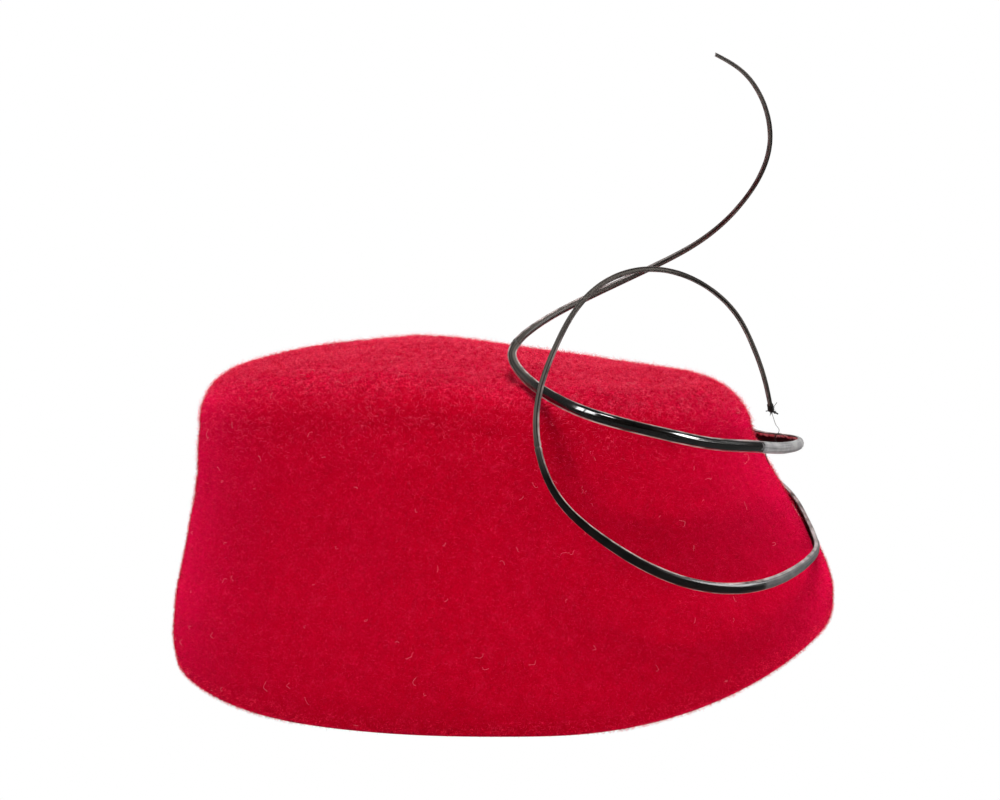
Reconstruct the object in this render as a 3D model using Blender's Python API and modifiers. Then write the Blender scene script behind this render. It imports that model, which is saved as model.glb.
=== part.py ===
"""A blocked wool-felt hat of the beret family, with two curled quills, built as separate pieces.

Units are metres, +Z up. +X points to the end that carries the quills (the front), -X to the back and
-Y to the wearer's left. The origin is on the plane the rim stands on, under the middle of the whole box.
The felt is a loft from a wide oval rim up to a smaller crown. Everything else is placed from it, in the
felt's own frame, which has its Z axis through the middle of the head opening.
"""

import math
from bisect import bisect_right

import bmesh
import bpy
import numpy as np
from mathutils import Matrix, Vector

MM = 0.001
TURN = 2 * math.pi

# Where the felt's own frame stands. The lower quill bulges past the felt's -Y side, so the felt moves
# to +Y, and the whole box is centred over the origin.
FELT_FRAME = (0.5 * MM, 4.0 * MM, 0.0)

# Felt body. Reaches are measured from the Z axis, at these shares of the wall's height.
WALL_SHARES = (0.0, 0.25, 0.5, 0.75, 1.0)
FRONT_REACH = (114.5 * MM, 110.5 * MM, 100.5 * MM, 93.0 * MM, 85.0 * MM)
BACK_REACH = (115.5 * MM, 114.5 * MM, 110.5 * MM, 107.0 * MM, 105.5 * MM)
SIDE_REACH = (96.0 * MM, 92.5 * MM, 87.0 * MM, 81.0 * MM, 73.0 * MM)
CROWN_X = (-106.0 * MM, -65.0 * MM, -28.0 * MM, 15.0 * MM, 90.0 * MM)
CROWN_HEIGHT = (111.0 * MM, 115.0 * MM, 117.5 * MM, 112.0 * MM, 106.0 * MM)
CROWN_DOME = 2.0 * MM
SHOULDER_RADIUS = 17.0 * MM
FELT_THICKNESS = 2.2 * MM

# Rim: it stands flat along the sides and lifts towards the front and the back.
FRONT_LIFT = 25.6 * MM
FRONT_LIFT_START = 0.08
FRONT_LIFT_POWER = 2.3
BACK_LIFT = 8.3 * MM
BACK_LIFT_START = 0.35
BACK_LIFT_POWER = 3.0
FOLD_RADIUS = 3.6 * MM
FOLD_ANGLES = (0, 30, 55, 75, 105, 125, 150, 180)
FOOT_ANGLE = 75
HEM_RETURN = 9.0 * MM

RING_SEGMENTS = 48
WALL_RINGS = 8
SHOULDER_RINGS = 5
CROWN_SCALES = (0.8, 0.55, 0.28)

# Rim wire and its ferrule, inside the turned hem.
WIRE_RADIUS = 0.5 * MM
WIRE_GAP_ANGLE = 0.004
WIRE_POINTS = 72
FERRULE_BORE = 0.7 * MM
FERRULE_WALL = 0.25 * MM
FERRULE_LENGTH = 7.0 * MM

# Ribbon band inside, at the line that fits the head.
BAND_LOW = 52.0 * MM
BAND_HIGH = 77.0 * MM
BAND_RINGS = 4
BAND_THICKNESS = 0.8 * MM
CLEARANCE = 0.35 * MM
BAND_FACE = FELT_THICKNESS + CLEARANCE + BAND_THICKNESS

# Quills. Each lies on the felt for a short way, under two stitches, then follows its stations.
UPPER_QUILL_STATIONS = (
    (88.5, 15, 86.8),
    (95.5, 4, 87),
    (100, -20, 88.2),
    (92.5, -40, 89.2),
    (81.5, -58, 92),
    (71, -70, 94),
    (50.5, -88, 100),
    (31, -92, 105.5),
    (15, -75, 110.5),
    (4.5, -56, 117),
    (2, -45, 122),
    (10, -30, 129.5),
    (25.5, -13, 136.6),
    (43, -2, 143.8),
    (63, -3, 154),
    (79.5, -20, 170),
    (88, -45, 195),
    (79.5, -64, 215),
    (68, -80, 223),
)
UPPER_QUILL_RADII = (
    *(1.7, 1.7, 1.75, 1.85, 1.9, 1.9, 1.9, 1.9, 1.8, 1.6),
    *(1.4, 1.2, 1.1, 1.0, 0.9, 0.85, 0.8, 0.7, 0.6),
)
LOWER_QUILL_STATIONS = (
    (98.9, 11, 66.4),
    (103.2, -5, 60),
    (105.8, -19, 53.2),
    (104.6, -30, 52),
    (100, -48, 50.8),
    (92, -62, 48.4),
    (70.5, -84, 48.3),
    (50.5, -96, 55),
    (31, -101, 67),
    (16, -103, 82),
    (10, -101, 99.5),
    (10.5, -97, 112.5),
    (15.5, -92, 127.5),
    (24.5, -85, 142.5),
    (37.5, -74, 150.7),
    (47.5, -66, 151.8),
    (66.5, -52, 145),
    (77, -45, 135),
    (82, -40, 126),
    (88, -31, 109.5),
    (90, -26, 100.5),
)
LOWER_QUILL_RADII = (
    *(1.6, 1.6, 1.65, 1.65, 1.7, 1.75, 1.75, 1.65, 1.45, 1.2, 1.0),
    *(0.95, 0.9, 0.85, 0.85, 0.85, 0.8, 0.8, 0.8, 0.8, 0.8),
)
QUILL_POINTS = 66
UPPER_BASE_ANGLES = (27.5, 20.0)
UPPER_BASE_HEIGHTS = (87.2 * MM, 86.8 * MM)
LOWER_BASE_ANGLES = (27.0, 19.5)
LOWER_BASE_HEIGHTS = (71.5 * MM, 70.0 * MM)
QUILL_LIFT = 0.6 * MM

# Thread: a stitch is a bridge of this many straight steps over the piece that it holds.
THREAD_RADIUS = 0.3 * MM
BRIDGE_STEPS = 8
STITCH_SLACK = 0.5 * MM
QUILL_STITCH_SPACING = 3.5 * MM
QUILL_STITCH_START = 2.5 * MM

# Tie between the lower quill's tip and the upper quill.
TIE_KNOT_RADIUS = 1.6 * MM
TIE_KNOT_THREAD = 0.5 * MM
TIE_KNOT_FROM_TIP = 1.4 * MM
TIE_THREAD_RADIUS = 0.25 * MM
TIE_POINTS = ((91.2, -24.8, 97.6), (93.4, -14.0, 94.3), (94.8, -4.0, 91.2), (95.2, 0.5, 89.8))

# Elastic: a cord round the back, hung by two eyes on thread knots in the band.
ELASTIC_HEIGHT = 56.0 * MM
ELASTIC_ANCHOR_ANGLE = 98
CORD_RADIUS = 1.0 * MM
CORD_OFF_BAND = 2.0 * MM
CORD_POINTS = 40
EYE_RADIUS = 2.2 * MM
EYE_WIRE_RADIUS = 0.5 * MM
KNOT_POST_RADIUS = 0.6 * MM
KNOT_HEAD_RADIUS = 2.0 * MM
KNOT_HEAD_HEIGHT = 1.6 * MM
KNOT_SHOULDER = 0.7
KNOT_BEVEL = 0.15

# Comb: teeth up along the front wall, hinged at its spine on thread loops.
COMB_HEIGHT = 57.0 * MM
COMB_TEETH = 13
TOOTH_PITCH = 3.0 * MM
TOOTH_WIDTH = 1.6 * MM
TOOTH_LENGTH = 27.0 * MM
TOOTH_TIP_WIDTH = 0.8 * MM
SPINE_HEIGHT = 3.2 * MM
SPINE_CORNER_UP = 0.6
SPINE_CORNER_IN = 0.6
COMB_LEAN_SHARE = 0.9
COMB_THICKNESS = 1.6 * MM
COMB_OFF_BAND = 4.4 * MM
COMB_STITCH_GAPS = (-4.5, 0.5, 3.5)
COMB_LOOP_RADIUS = 2.5 * MM

# Blank care label, sewn by its top edge to the back of the band.
LABEL_WIDTH = 28.0 * MM
LABEL_HEIGHT = 13.0 * MM
LABEL_THICKNESS = 0.5 * MM
LABEL_TOP = 75.0 * MM
LABEL_OFF_BAND = 2.6 * MM

# Facets round small turned and ring-shaped pieces, and along the tube of a ring.
TURNED_SEGMENTS = 16
EYE_SEGMENTS = 20
RING_TUBE_SEGMENTS = 8

# Finishes: colour, roughness, metallic.
FELT = ((0.420, 0.002, 0.018), 0.95, 0.0)
QUILL = ((0.006, 0.005, 0.005), 0.18, 0.0)
THREAD = ((0.012, 0.010, 0.010), 0.65, 0.0)
RIBBON = ((0.260, 0.003, 0.014), 0.7, 0.0)
STEEL = ((0.560, 0.560, 0.570), 0.3, 1.0)
COMB = ((0.012, 0.011, 0.011), 0.2, 0.0)
LABEL = ((0.820, 0.810, 0.790), 0.6, 0.0)
ELASTIC = ((0.020, 0.018, 0.018), 0.8, 0.0)


def clear_scene():
    for obj in list(bpy.data.objects):
        bpy.data.objects.remove(obj)


def through(stations, values, at):
    """A smooth curve through the values at the stations: a cubic with finite-difference slopes."""
    last = len(stations) - 1
    i = min(max(bisect_right(stations, at) - 1, 0), last - 1)

    def slope(k):
        low, high = max(k - 1, 0), min(k + 1, last)
        return (values[high] - values[low]) / (stations[high] - stations[low])

    span = stations[i + 1] - stations[i]
    t = (at - stations[i]) / span
    rise = values[i] + (values[i + 1] - values[i]) * t * t * (3 - 2 * t)
    return rise + span * t * (1 - t) * ((1 - t) * slope(i) - t * slope(i + 1))


def frontness(angle):
    """0 at the back and 1 at the front, eased so that both ends of an outline stay round."""
    w = (1 + math.cos(angle)) / 2
    return w * w * (3 - 2 * w)


def outline(angle, front, back, side):
    """The point of an egg-shaped outline with these reaches."""
    reach = back + (front - back) * frontness(angle)
    return reach * math.cos(angle), side * math.sin(angle)


def crown_height(x):
    return through(CROWN_X, CROWN_HEIGHT, x)


def rim_height(angle):
    """Height of the rim's widest line, which is also the centre of the fold."""
    c = math.cos(angle)
    ahead = max(0.0, (c - FRONT_LIFT_START) / (1 - FRONT_LIFT_START))
    behind = max(0.0, (-c - BACK_LIFT_START) / (1 - BACK_LIFT_START))
    return FOLD_RADIUS + FRONT_LIFT * ahead**FRONT_LIFT_POWER + BACK_LIFT * behind**BACK_LIFT_POWER


def shoulder_height(angle):
    x, _ = outline(angle, FRONT_REACH[-1], BACK_REACH[-1], SIDE_REACH[-1])
    return crown_height(x) - SHOULDER_RADIUS


def wall_point(angle, share):
    """A point of the outer wall: share 0 is the rim's widest line, 1 the start of the shoulder."""
    front, back, side = (through(WALL_SHARES, r, share) for r in (FRONT_REACH, BACK_REACH, SIDE_REACH))
    x, y = outline(angle, front, back, side)
    low = rim_height(angle)
    return Vector((x, y, low + (shoulder_height(angle) - low) * share))


def wall_normal(angle, share):
    """Outward unit normal of the wall."""
    step = 1e-3
    along = wall_point(angle + step, share) - wall_point(angle - step, share)
    up = wall_point(angle, share + step) - wall_point(angle, share - step)
    return along.cross(up).normalized()


def wall_share(angle, height):
    low = rim_height(angle)
    return (height - low) / (shoulder_height(angle) - low)


def off_wall(angle, height, distance):
    """The point of the wall at this angle and height, moved out by distance. Negative is inside."""
    share = wall_share(angle, height)
    return wall_point(angle, share) + wall_normal(angle, share) * distance


def fold_point(angle, inset, drop):
    """A point of the turned hem, inset from the rim's widest line and below it by drop."""
    x, y = outline(angle, FRONT_REACH[0] - inset, BACK_REACH[0] - inset, SIDE_REACH[0] - inset)
    return Vector((x, y, rim_height(angle) - drop))


def shoulder_point(angle, turn):
    inset = SHOULDER_RADIUS * (1 - math.cos(turn))
    x, y = outline(angle, FRONT_REACH[-1] - inset, BACK_REACH[-1] - inset, SIDE_REACH[-1] - inset)
    return Vector((x, y, crown_height(x) - SHOULDER_RADIUS * (1 - math.sin(turn))))


def crown_point(angle, scale):
    inset = SHOULDER_RADIUS
    x, y = outline(angle, FRONT_REACH[-1] - inset, BACK_REACH[-1] - inset, SIDE_REACH[-1] - inset)
    x, y = x * scale, y * scale
    return Vector((x, y, crown_height(x) + CROWN_DOME * (1 - scale * scale)))


def felt_rings():
    """Rings of the felt's outer surface, from the hem's inner edge, round the fold and up to the crown."""
    angles = [TURN * i / RING_SEGMENTS for i in range(RING_SEGMENTS)]
    inner = 2 * FOLD_RADIUS
    rings = [[fold_point(a, inner, -HEM_RETURN) for a in angles]]
    for fold in reversed(FOLD_ANGLES):
        inset = FOLD_RADIUS * (1 - math.cos(math.radians(fold)))
        steepness = math.sin(math.radians(fold)) / math.sin(math.radians(FOOT_ANGLE))
        drop = FOLD_RADIUS * min(1.0, steepness)
        rings.append([fold_point(a, inset, drop) for a in angles])
    for i in range(1, WALL_RINGS + 1):
        rings.append([wall_point(a, i / WALL_RINGS) for a in angles])
    for i in range(1, SHOULDER_RINGS + 1):
        rings.append([shoulder_point(a, math.pi / 2 * i / SHOULDER_RINGS) for a in angles])
    for scale in CROWN_SCALES:
        rings.append([crown_point(a, scale) for a in angles])
    return rings


def new_object(name, data, parent=None):
    obj = bpy.data.objects.new(name, data)
    bpy.data.collections["felt_beret"].objects.link(obj)
    obj.parent = parent
    return obj


def new_empty(name, location, matrix=None):
    """A joint's or a group's frame."""
    empty = new_object(name, None)
    empty.matrix_world = Matrix.Translation(location) @ (matrix or Matrix.Identity(3)).to_4x4()
    return empty


def set_material(obj, finish):
    colour, roughness, metallic = finish
    material = bpy.data.materials.new(obj.name)
    material.use_nodes = True
    shader = material.node_tree.nodes["Principled BSDF"]
    shader.inputs["Base Color"].default_value = (*colour, 1)
    shader.inputs["Roughness"].default_value = roughness
    shader.inputs["Metallic"].default_value = metallic
    obj.data.materials.append(material)


def mesh_object(name, bm, parent=None):
    mesh = bpy.data.meshes.new(name)
    bm.to_mesh(mesh)
    bm.free()
    mesh.shade_smooth()
    return new_object(name, mesh, parent)


def loft(name, rings, apex=None):
    """A surface through closed rings of equal length. An apex closes it over the last ring."""
    bm = bmesh.new()
    rows = [[bm.verts.new(p) for p in ring] for ring in rings]
    count = len(rows[0])
    for low, high in zip(rows, rows[1:]):
        for i in range(count):
            j = (i + 1) % count
            bm.faces.new((low[i], low[j], high[j], high[i]))
    if apex is not None:
        top = bm.verts.new(apex)
        for i in range(count):
            bm.faces.new((rows[-1][i], rows[-1][(i + 1) % count], top))
    return mesh_object(name, bm)


def add_solidify(obj, thickness, offset):
    solidify = obj.modifiers.new("thickness", "SOLIDIFY")
    solidify.thickness = thickness
    solidify.offset = offset
    solidify.use_even_offset = True


def wire(name, points, radius, parent=None, radii=None, roundness=2):
    """A round rod through the points, with closed ends. Radii are shares of radius, one a point."""
    curve = bpy.data.curves.new(name, "CURVE")
    curve.dimensions = "3D"
    curve.bevel_depth = radius
    curve.bevel_resolution = roundness
    curve.use_fill_caps = True
    spline = curve.splines.new("POLY")
    spline.points.add(len(points) - 1)
    for i, (point, place) in enumerate(zip(spline.points, points)):
        point.co = (*place, 1)
        point.radius = radii[i] if radii else 1.0
    return new_object(name, curve, parent)


def flat_plate(name, outline_points, thickness, parent):
    """A plate in its parent's XY plane with this outline."""
    curve = bpy.data.curves.new(name, "CURVE")
    curve.dimensions = "2D"
    curve.fill_mode = "BOTH"
    curve.extrude = thickness / 2
    spline = curve.splines.new("POLY")
    spline.points.add(len(outline_points) - 1)
    for point, (x, y) in zip(spline.points, outline_points):
        point.co = (x, y, 0, 1)
    spline.use_cyclic_u = True
    return new_object(name, curve, parent)


def build_felt_shell():
    rings = felt_rings()
    shell = loft("felt_shell", rings, apex=Vector((0, 0, crown_height(0) + CROWN_DOME)))
    add_solidify(shell, FELT_THICKNESS, -1)
    set_material(shell, FELT)


def build_rim_wire():
    """A wire ring inside the fold, open at the centre back, where a ferrule holds its two ends."""
    span = TURN - 2 * WIRE_GAP_ANGLE
    angles = [math.pi + WIRE_GAP_ANGLE + span * i / (WIRE_POINTS - 1) for i in range(WIRE_POINTS)]
    rim_wire = wire("rim_wire", [fold_point(a, FOLD_RADIUS, 0) for a in angles], WIRE_RADIUS, roundness=1)
    set_material(rim_wire, STEEL)

    bm = bmesh.new()
    bmesh.ops.create_cone(
        bm,
        segments=TURNED_SEGMENTS,
        radius1=FERRULE_BORE,
        radius2=FERRULE_BORE,
        depth=FERRULE_LENGTH,
        cap_ends=False,
    )
    ferrule = mesh_object("rim_wire_ferrule", bm)
    ferrule.location = fold_point(math.pi, FOLD_RADIUS, 0)
    ferrule.rotation_euler = (math.pi / 2, 0, 0)
    add_solidify(ferrule, FERRULE_WALL, 1)
    set_material(ferrule, STEEL)


def build_sweatband():
    rings = []
    for i in range(BAND_RINGS):
        height = BAND_LOW + (BAND_HIGH - BAND_LOW) * i / (BAND_RINGS - 1)
        ring = [off_wall(TURN * k / RING_SEGMENTS, height, -BAND_FACE) for k in range(RING_SEGMENTS)]
        rings.append(ring)
    band = loft("sweatband", rings)
    add_solidify(band, BAND_THICKNESS, 1)
    set_material(band, RIBBON)


def spline_path(points, values, count):
    """(places, values) spaced evenly along the natural cubic spline through the points."""
    lengths = [0.0]
    for a, b in zip(points, points[1:]):
        lengths.append(lengths[-1] + (b - a).length)
    spans = np.diff(lengths)
    corners = np.array(points)
    bends = np.zeros_like(corners)
    inner = np.diag(2 * (spans[:-1] + spans[1:])) + np.diag(spans[1:-1], 1) + np.diag(spans[1:-1], -1)
    slopes = np.diff(corners, axis=0) / spans[:, None]
    bends[1:-1] = np.linalg.solve(inner, 6 * np.diff(slopes, axis=0))
    places, shares = [], []
    for i in range(count):
        at = lengths[-1] * i / (count - 1)
        k = min(bisect_right(lengths, at) - 1, len(spans) - 1)
        t = (at - lengths[k]) / spans[k]
        bulge = (1 - t) * ((1 - t) ** 2 - 1) * bends[k] + t * (t * t - 1) * bends[k + 1]
        places.append(Vector(corners[k] * (1 - t) + corners[k + 1] * t + bulge * spans[k] ** 2 / 6))
        shares.append(values[k] * (1 - t) + values[k + 1] * t)
    return places, shares


def quill_path(base_angles, base_heights, stations, radii):
    """The quill's centre line and radii, from its cut end on the felt to its tip."""
    base = [
        off_wall(math.radians(a), h, radii[0] * MM + QUILL_LIFT) for a, h in zip(base_angles, base_heights)
    ]
    points = base + [Vector(s) * MM for s in stations]
    values = [radii[0]] * len(base) + list(radii)
    return spline_path(points, values, QUILL_POINTS)


def build_quill(name, path, parent):
    places, radii = path
    inverse = parent.matrix_world.inverted()
    quill = wire(name, [inverse @ p for p in places], MM, parent, radii)
    set_material(quill, QUILL)


def staple(name, centre, along, out, radius, leg):
    """A thread bridge over a rod: half a ring round centre, then two legs down towards the felt."""
    side = along.cross(out).normalized()
    points = [centre - side * radius - out * leg]
    for i in range(BRIDGE_STEPS + 1):
        turn = math.pi * i / BRIDGE_STEPS
        points.append(centre - side * radius * math.cos(turn) + out * radius * math.sin(turn))
    points.append(centre + side * radius - out * leg)
    stitch = wire(name, points, THREAD_RADIUS, roundness=1)
    set_material(stitch, THREAD)


def point_along(places, distance):
    """(point, direction) at this length along a polyline."""
    for a, b in zip(places, places[1:]):
        step = (b - a).length
        if distance <= step:
            return a.lerp(b, distance / step), (b - a).normalized()
        distance -= step


def build_quill_stitches(prefix, path, base_angle, base_height):
    places, radii = path
    out = wall_normal(math.radians(base_angle), wall_share(math.radians(base_angle), base_height))
    radius = radii[0] * MM + STITCH_SLACK + THREAD_RADIUS
    leg = radii[0] * MM + QUILL_LIFT - CLEARANCE - THREAD_RADIUS
    for i in range(2):
        centre, along = point_along(places, QUILL_STITCH_START + QUILL_STITCH_SPACING * i)
        staple(f"{prefix}_stitch_{i + 1}", centre, along, out, radius, leg)


def build_quills():
    upper = quill_path(UPPER_BASE_ANGLES, UPPER_BASE_HEIGHTS, UPPER_QUILL_STATIONS, UPPER_QUILL_RADII)
    lower = quill_path(LOWER_BASE_ANGLES, LOWER_BASE_HEIGHTS, LOWER_QUILL_STATIONS, LOWER_QUILL_RADII)
    anchor, _ = point_along(upper[0], QUILL_STITCH_START)
    lower_anchor, _ = point_along(lower[0], QUILL_STITCH_START)
    turn = (anchor - lower_anchor).to_track_quat("Z", "Y").to_matrix()
    hinge = new_empty("quill_hinge", anchor, turn)
    build_quill("upper_quill", upper, hinge)
    build_quill("lower_quill", lower, hinge)
    build_quill_stitches("upper_quill", upper, UPPER_BASE_ANGLES[0], UPPER_BASE_HEIGHTS[0])
    build_quill_stitches("lower_quill", lower, LOWER_BASE_ANGLES[0], LOWER_BASE_HEIGHTS[0])
    build_tie(lower[0], hinge)


def build_tie(lower_places, parent):
    """A knot of thread round the lower quill's tip, and the thread that ties it to the upper quill."""
    tip, before = lower_places[-1], lower_places[-2]
    along = (tip - before).normalized()
    knot = ring_of_wire("tip_knot", TIE_KNOT_RADIUS, TIE_KNOT_THREAD, TURNED_SEGMENTS, parent)
    turn = along.to_track_quat("Z", "Y").to_matrix().to_4x4()
    knot.matrix_world = Matrix.Translation(tip - along * TIE_KNOT_FROM_TIP) @ turn
    set_material(knot, THREAD)

    inverse = parent.matrix_world.inverted()
    thread = wire("tip_thread", [inverse @ (Vector(p) * MM) for p in TIE_POINTS], TIE_THREAD_RADIUS, parent)
    set_material(thread, THREAD)


def ring_of_wire(name, radius, wire_radius, segments, parent):
    """A round ring, such as an eye or a turn of thread, in its parent's XY plane."""
    bpy.ops.mesh.primitive_torus_add(
        major_radius=radius,
        minor_radius=wire_radius,
        major_segments=segments,
        minor_segments=RING_TUBE_SEGMENTS,
    )
    ring = bpy.context.object
    ring.name = name
    ring.data.name = name
    for collection in list(ring.users_collection):
        collection.objects.unlink(ring)
    bpy.data.collections["felt_beret"].objects.link(ring)
    ring.parent = parent
    ring.data.shade_smooth()
    return ring


def turned(name, profile, parent):
    """A solid turned round its parent's Z axis from a profile of (radius, height), top to bottom."""
    bm = bmesh.new()
    verts = [bm.verts.new((r, 0, z)) for r, z in profile]
    for a, b in zip(verts, verts[1:]):
        bm.edges.new((a, b))
    obj = mesh_object(name, bm, parent)
    screw = obj.modifiers.new("turn", "SCREW")
    screw.steps = TURNED_SEGMENTS
    screw.render_steps = TURNED_SEGMENTS
    screw.use_merge_vertices = True
    screw.merge_threshold = 1e-6
    return obj


def build_elastic():
    """The cord round the back and, at each end, a metal eye that turns on a thread knot."""
    anchor_angle = math.radians(ELASTIC_ANCHOR_ANGLE)
    off = -(BAND_FACE + CORD_OFF_BAND)
    anchor = off_wall(anchor_angle, ELASTIC_HEIGHT, off)
    hinge = new_empty("elastic_hinge", Vector((anchor.x, 0, anchor.z)))
    inverse = hinge.matrix_world.inverted()
    reach = EYE_RADIUS + EYE_WIRE_RADIUS + CLEARANCE
    span = TURN - 2 * anchor_angle
    angles = [anchor_angle + span * i / (CORD_POINTS - 1) for i in range(CORD_POINTS)]
    places = [off_wall(a, ELASTIC_HEIGHT, off) for a in angles]
    places = [Vector((p.x, p.y, anchor.z)) for p in places if p.x < anchor.x - reach]
    ends = [Vector((anchor.x - reach, s * anchor.y, anchor.z)) for s in (1, -1)]
    cord = wire("elastic_cord", [inverse @ p for p in [ends[0], *places, ends[1]]], CORD_RADIUS, hinge)
    set_material(cord, ELASTIC)

    for side, word in ((1, "right"), (-1, "left")):
        centre = Vector((anchor.x, side * anchor.y, anchor.z))
        eye = ring_of_wire(f"elastic_eye_{word}", EYE_RADIUS, EYE_WIRE_RADIUS, EYE_SEGMENTS, hinge)
        eye.matrix_world = Matrix.Translation(centre) @ Matrix.Rotation(math.pi / 2, 4, "X")
        set_material(eye, STEEL)

        build_elastic_knot(word, centre, side)


def build_elastic_knot(word, eye_centre, side):
    """The knot that an eye turns on: a thread post through the eye, and a head that keeps it on."""
    start = EYE_WIRE_RADIUS + CLEARANCE
    end = start + KNOT_HEAD_HEIGHT
    foot = CLEARANCE - CORD_OFF_BAND
    profile = [
        (0, end),
        (KNOT_HEAD_RADIUS * KNOT_SHOULDER, end - KNOT_HEAD_HEIGHT * KNOT_BEVEL),
        (KNOT_HEAD_RADIUS, (start + end) / 2),
        (KNOT_HEAD_RADIUS * KNOT_SHOULDER, start),
        (KNOT_POST_RADIUS, start),
        (KNOT_POST_RADIUS, foot),
        (0, foot),
    ]
    turn = Matrix.Rotation(side * math.pi / 2, 3, "X")
    frame = new_empty(f"elastic_knot_frame_{word}", eye_centre, turn)
    knot = turned(f"elastic_knot_{word}", profile, frame)
    set_material(knot, THREAD)


def comb_frame():
    """(spine centre, frame) of the comb: X across, Y along the teeth, Z away from the wall."""
    share = wall_share(0, COMB_HEIGHT)
    tooth_end = wall_share(0, COMB_HEIGHT + TOOTH_LENGTH * COMB_LEAN_SHARE)
    up = (wall_point(0, tooth_end) - wall_point(0, share)).normalized()
    across = Vector((0, -1, 0))
    inward = across.cross(up)
    frame = Matrix((across, up, inward)).transposed()
    return wall_point(0, share) + inward * (BAND_FACE + COMB_OFF_BAND), frame


def build_comb():
    centre, frame = comb_frame()
    hinge = new_empty("comb_hinge", centre, frame)
    half_width = (COMB_TEETH - 1) / 2 * TOOTH_PITCH + TOOTH_WIDTH
    shoulder = SPINE_HEIGHT / 2
    corner = shoulder * SPINE_CORNER_IN
    outline_points = [(half_width, shoulder * (SPINE_CORNER_UP - 1)), (half_width - corner, -shoulder)]
    outline_points += [(-x, y) for x, y in reversed(outline_points)]
    outline_points.append((-half_width, shoulder))
    for i in range(COMB_TEETH):
        x = (i - (COMB_TEETH - 1) / 2) * TOOTH_PITCH
        root, tip = TOOTH_WIDTH / 2, TOOTH_TIP_WIDTH / 2
        outline_points += [
            (x - root, shoulder),
            (x - tip, TOOTH_LENGTH),
            (x + tip, TOOTH_LENGTH),
            (x + root, shoulder),
        ]
    outline_points.append((half_width, shoulder))
    comb = flat_plate("comb", outline_points, COMB_THICKNESS, hinge)
    set_material(comb, COMB)

    along, _, inward = (frame.col[i].copy() for i in range(3))
    band_bow = SIDE_REACH[2] ** 2 / FRONT_REACH[2]
    for number, gap in enumerate(COMB_STITCH_GAPS, 1):
        y = gap * TOOTH_PITCH
        leg = COMB_OFF_BAND - y * y / (2 * band_bow) - CLEARANCE - THREAD_RADIUS
        staple(f"comb_stitch_{number}", centre + along * y, along, inward, COMB_LOOP_RADIUS, leg)


def build_label():
    """A blank cloth label at the back of the band, hinged along its sewn top edge."""
    top = off_wall(math.pi, LABEL_TOP, -(BAND_FACE + LABEL_OFF_BAND))
    bottom = off_wall(math.pi, LABEL_TOP - LABEL_HEIGHT, -(BAND_FACE + LABEL_OFF_BAND))
    up = (top - bottom).normalized()
    across = Vector((0, -1, 0))
    frame = Matrix((across, up, across.cross(up))).transposed()
    hinge = new_empty("label_hinge", top, frame)
    half = LABEL_WIDTH / 2
    corners = [(-half, 0), (-half, -LABEL_HEIGHT), (half, -LABEL_HEIGHT), (half, 0)]
    label = flat_plate("care_label", corners, LABEL_THICKNESS, hinge)
    set_material(label, LABEL)


def move_to_frame(collection):
    """Puts every piece under one empty, and that empty where the felt's own frame stands."""
    loose = [obj for obj in collection.objects if obj.parent is None]
    frame = new_empty("felt_frame", Vector((0, 0, 0)))
    for obj in loose:
        obj.parent = frame
    frame.location = FELT_FRAME


def build_hat():
    clear_scene()
    hat = bpy.data.collections.new("felt_beret")
    bpy.context.scene.collection.children.link(hat)
    build_felt_shell()
    build_rim_wire()
    build_sweatband()
    build_quills()
    build_elastic()
    build_comb()
    build_label()
    move_to_frame(hat)


build_hat()
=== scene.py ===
"""Looks for the felt beret with two quills: brushed felt, lacquered spines, ribbon, thread and studio.

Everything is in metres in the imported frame. The felt is rebuilt here as a fine surface from the same
profile as the CAD shell, and every soft piece is placed from it or from its CAD node's box.
"""

import math
from functools import reduce

import bpy
import numpy as np
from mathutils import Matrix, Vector


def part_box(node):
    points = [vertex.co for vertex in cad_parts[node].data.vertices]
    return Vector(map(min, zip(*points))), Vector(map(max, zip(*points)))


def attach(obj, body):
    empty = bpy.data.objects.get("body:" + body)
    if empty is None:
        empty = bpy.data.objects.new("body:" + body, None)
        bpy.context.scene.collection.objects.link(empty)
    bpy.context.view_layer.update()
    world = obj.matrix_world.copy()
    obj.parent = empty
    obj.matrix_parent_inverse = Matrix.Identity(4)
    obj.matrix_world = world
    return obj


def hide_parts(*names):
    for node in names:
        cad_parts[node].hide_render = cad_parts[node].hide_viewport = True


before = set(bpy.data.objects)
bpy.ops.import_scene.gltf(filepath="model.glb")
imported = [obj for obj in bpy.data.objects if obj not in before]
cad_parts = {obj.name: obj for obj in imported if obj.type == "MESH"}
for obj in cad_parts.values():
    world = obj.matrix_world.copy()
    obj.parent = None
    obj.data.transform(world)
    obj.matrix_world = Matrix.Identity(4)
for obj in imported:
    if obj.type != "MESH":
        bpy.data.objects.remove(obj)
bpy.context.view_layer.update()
MM = 0.001
TURN = 2 * math.pi

# The felt's profile: reaches from the Z axis at shares of the wall's height, and the crown's line.
WALL_SHARES = (0.0, 0.25, 0.5, 0.75, 1.0)
FRONT_REACH = (0.1145, 0.1105, 0.1005, 0.0930, 0.0850)
BACK_REACH = (0.1155, 0.1145, 0.1105, 0.1070, 0.1055)
SIDE_REACH = (0.0960, 0.0925, 0.0870, 0.0810, 0.0730)
CROWN_X = (-0.106, -0.065, -0.028, 0.015, 0.090)
CROWN_HEIGHT = (0.1110, 0.1150, 0.1175, 0.1120, 0.1060)
CROWN_DOME = 0.002
SHOULDER_RADIUS = 0.017
FELT_THICKNESS = 0.0022
FRONT_LIFT, FRONT_LIFT_START, FRONT_LIFT_POWER = 0.0256, 0.08, 2.3
BACK_LIFT, BACK_LIFT_START, BACK_LIFT_POWER = 0.0083, 0.35, 3.0
FOLD_RADIUS = 0.0036
HEM_RETURN = 0.009
ROLL_HEIGHT, ROLL_INSET = 0.010, 0.0018
BAND_GAP = 0.00035
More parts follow.
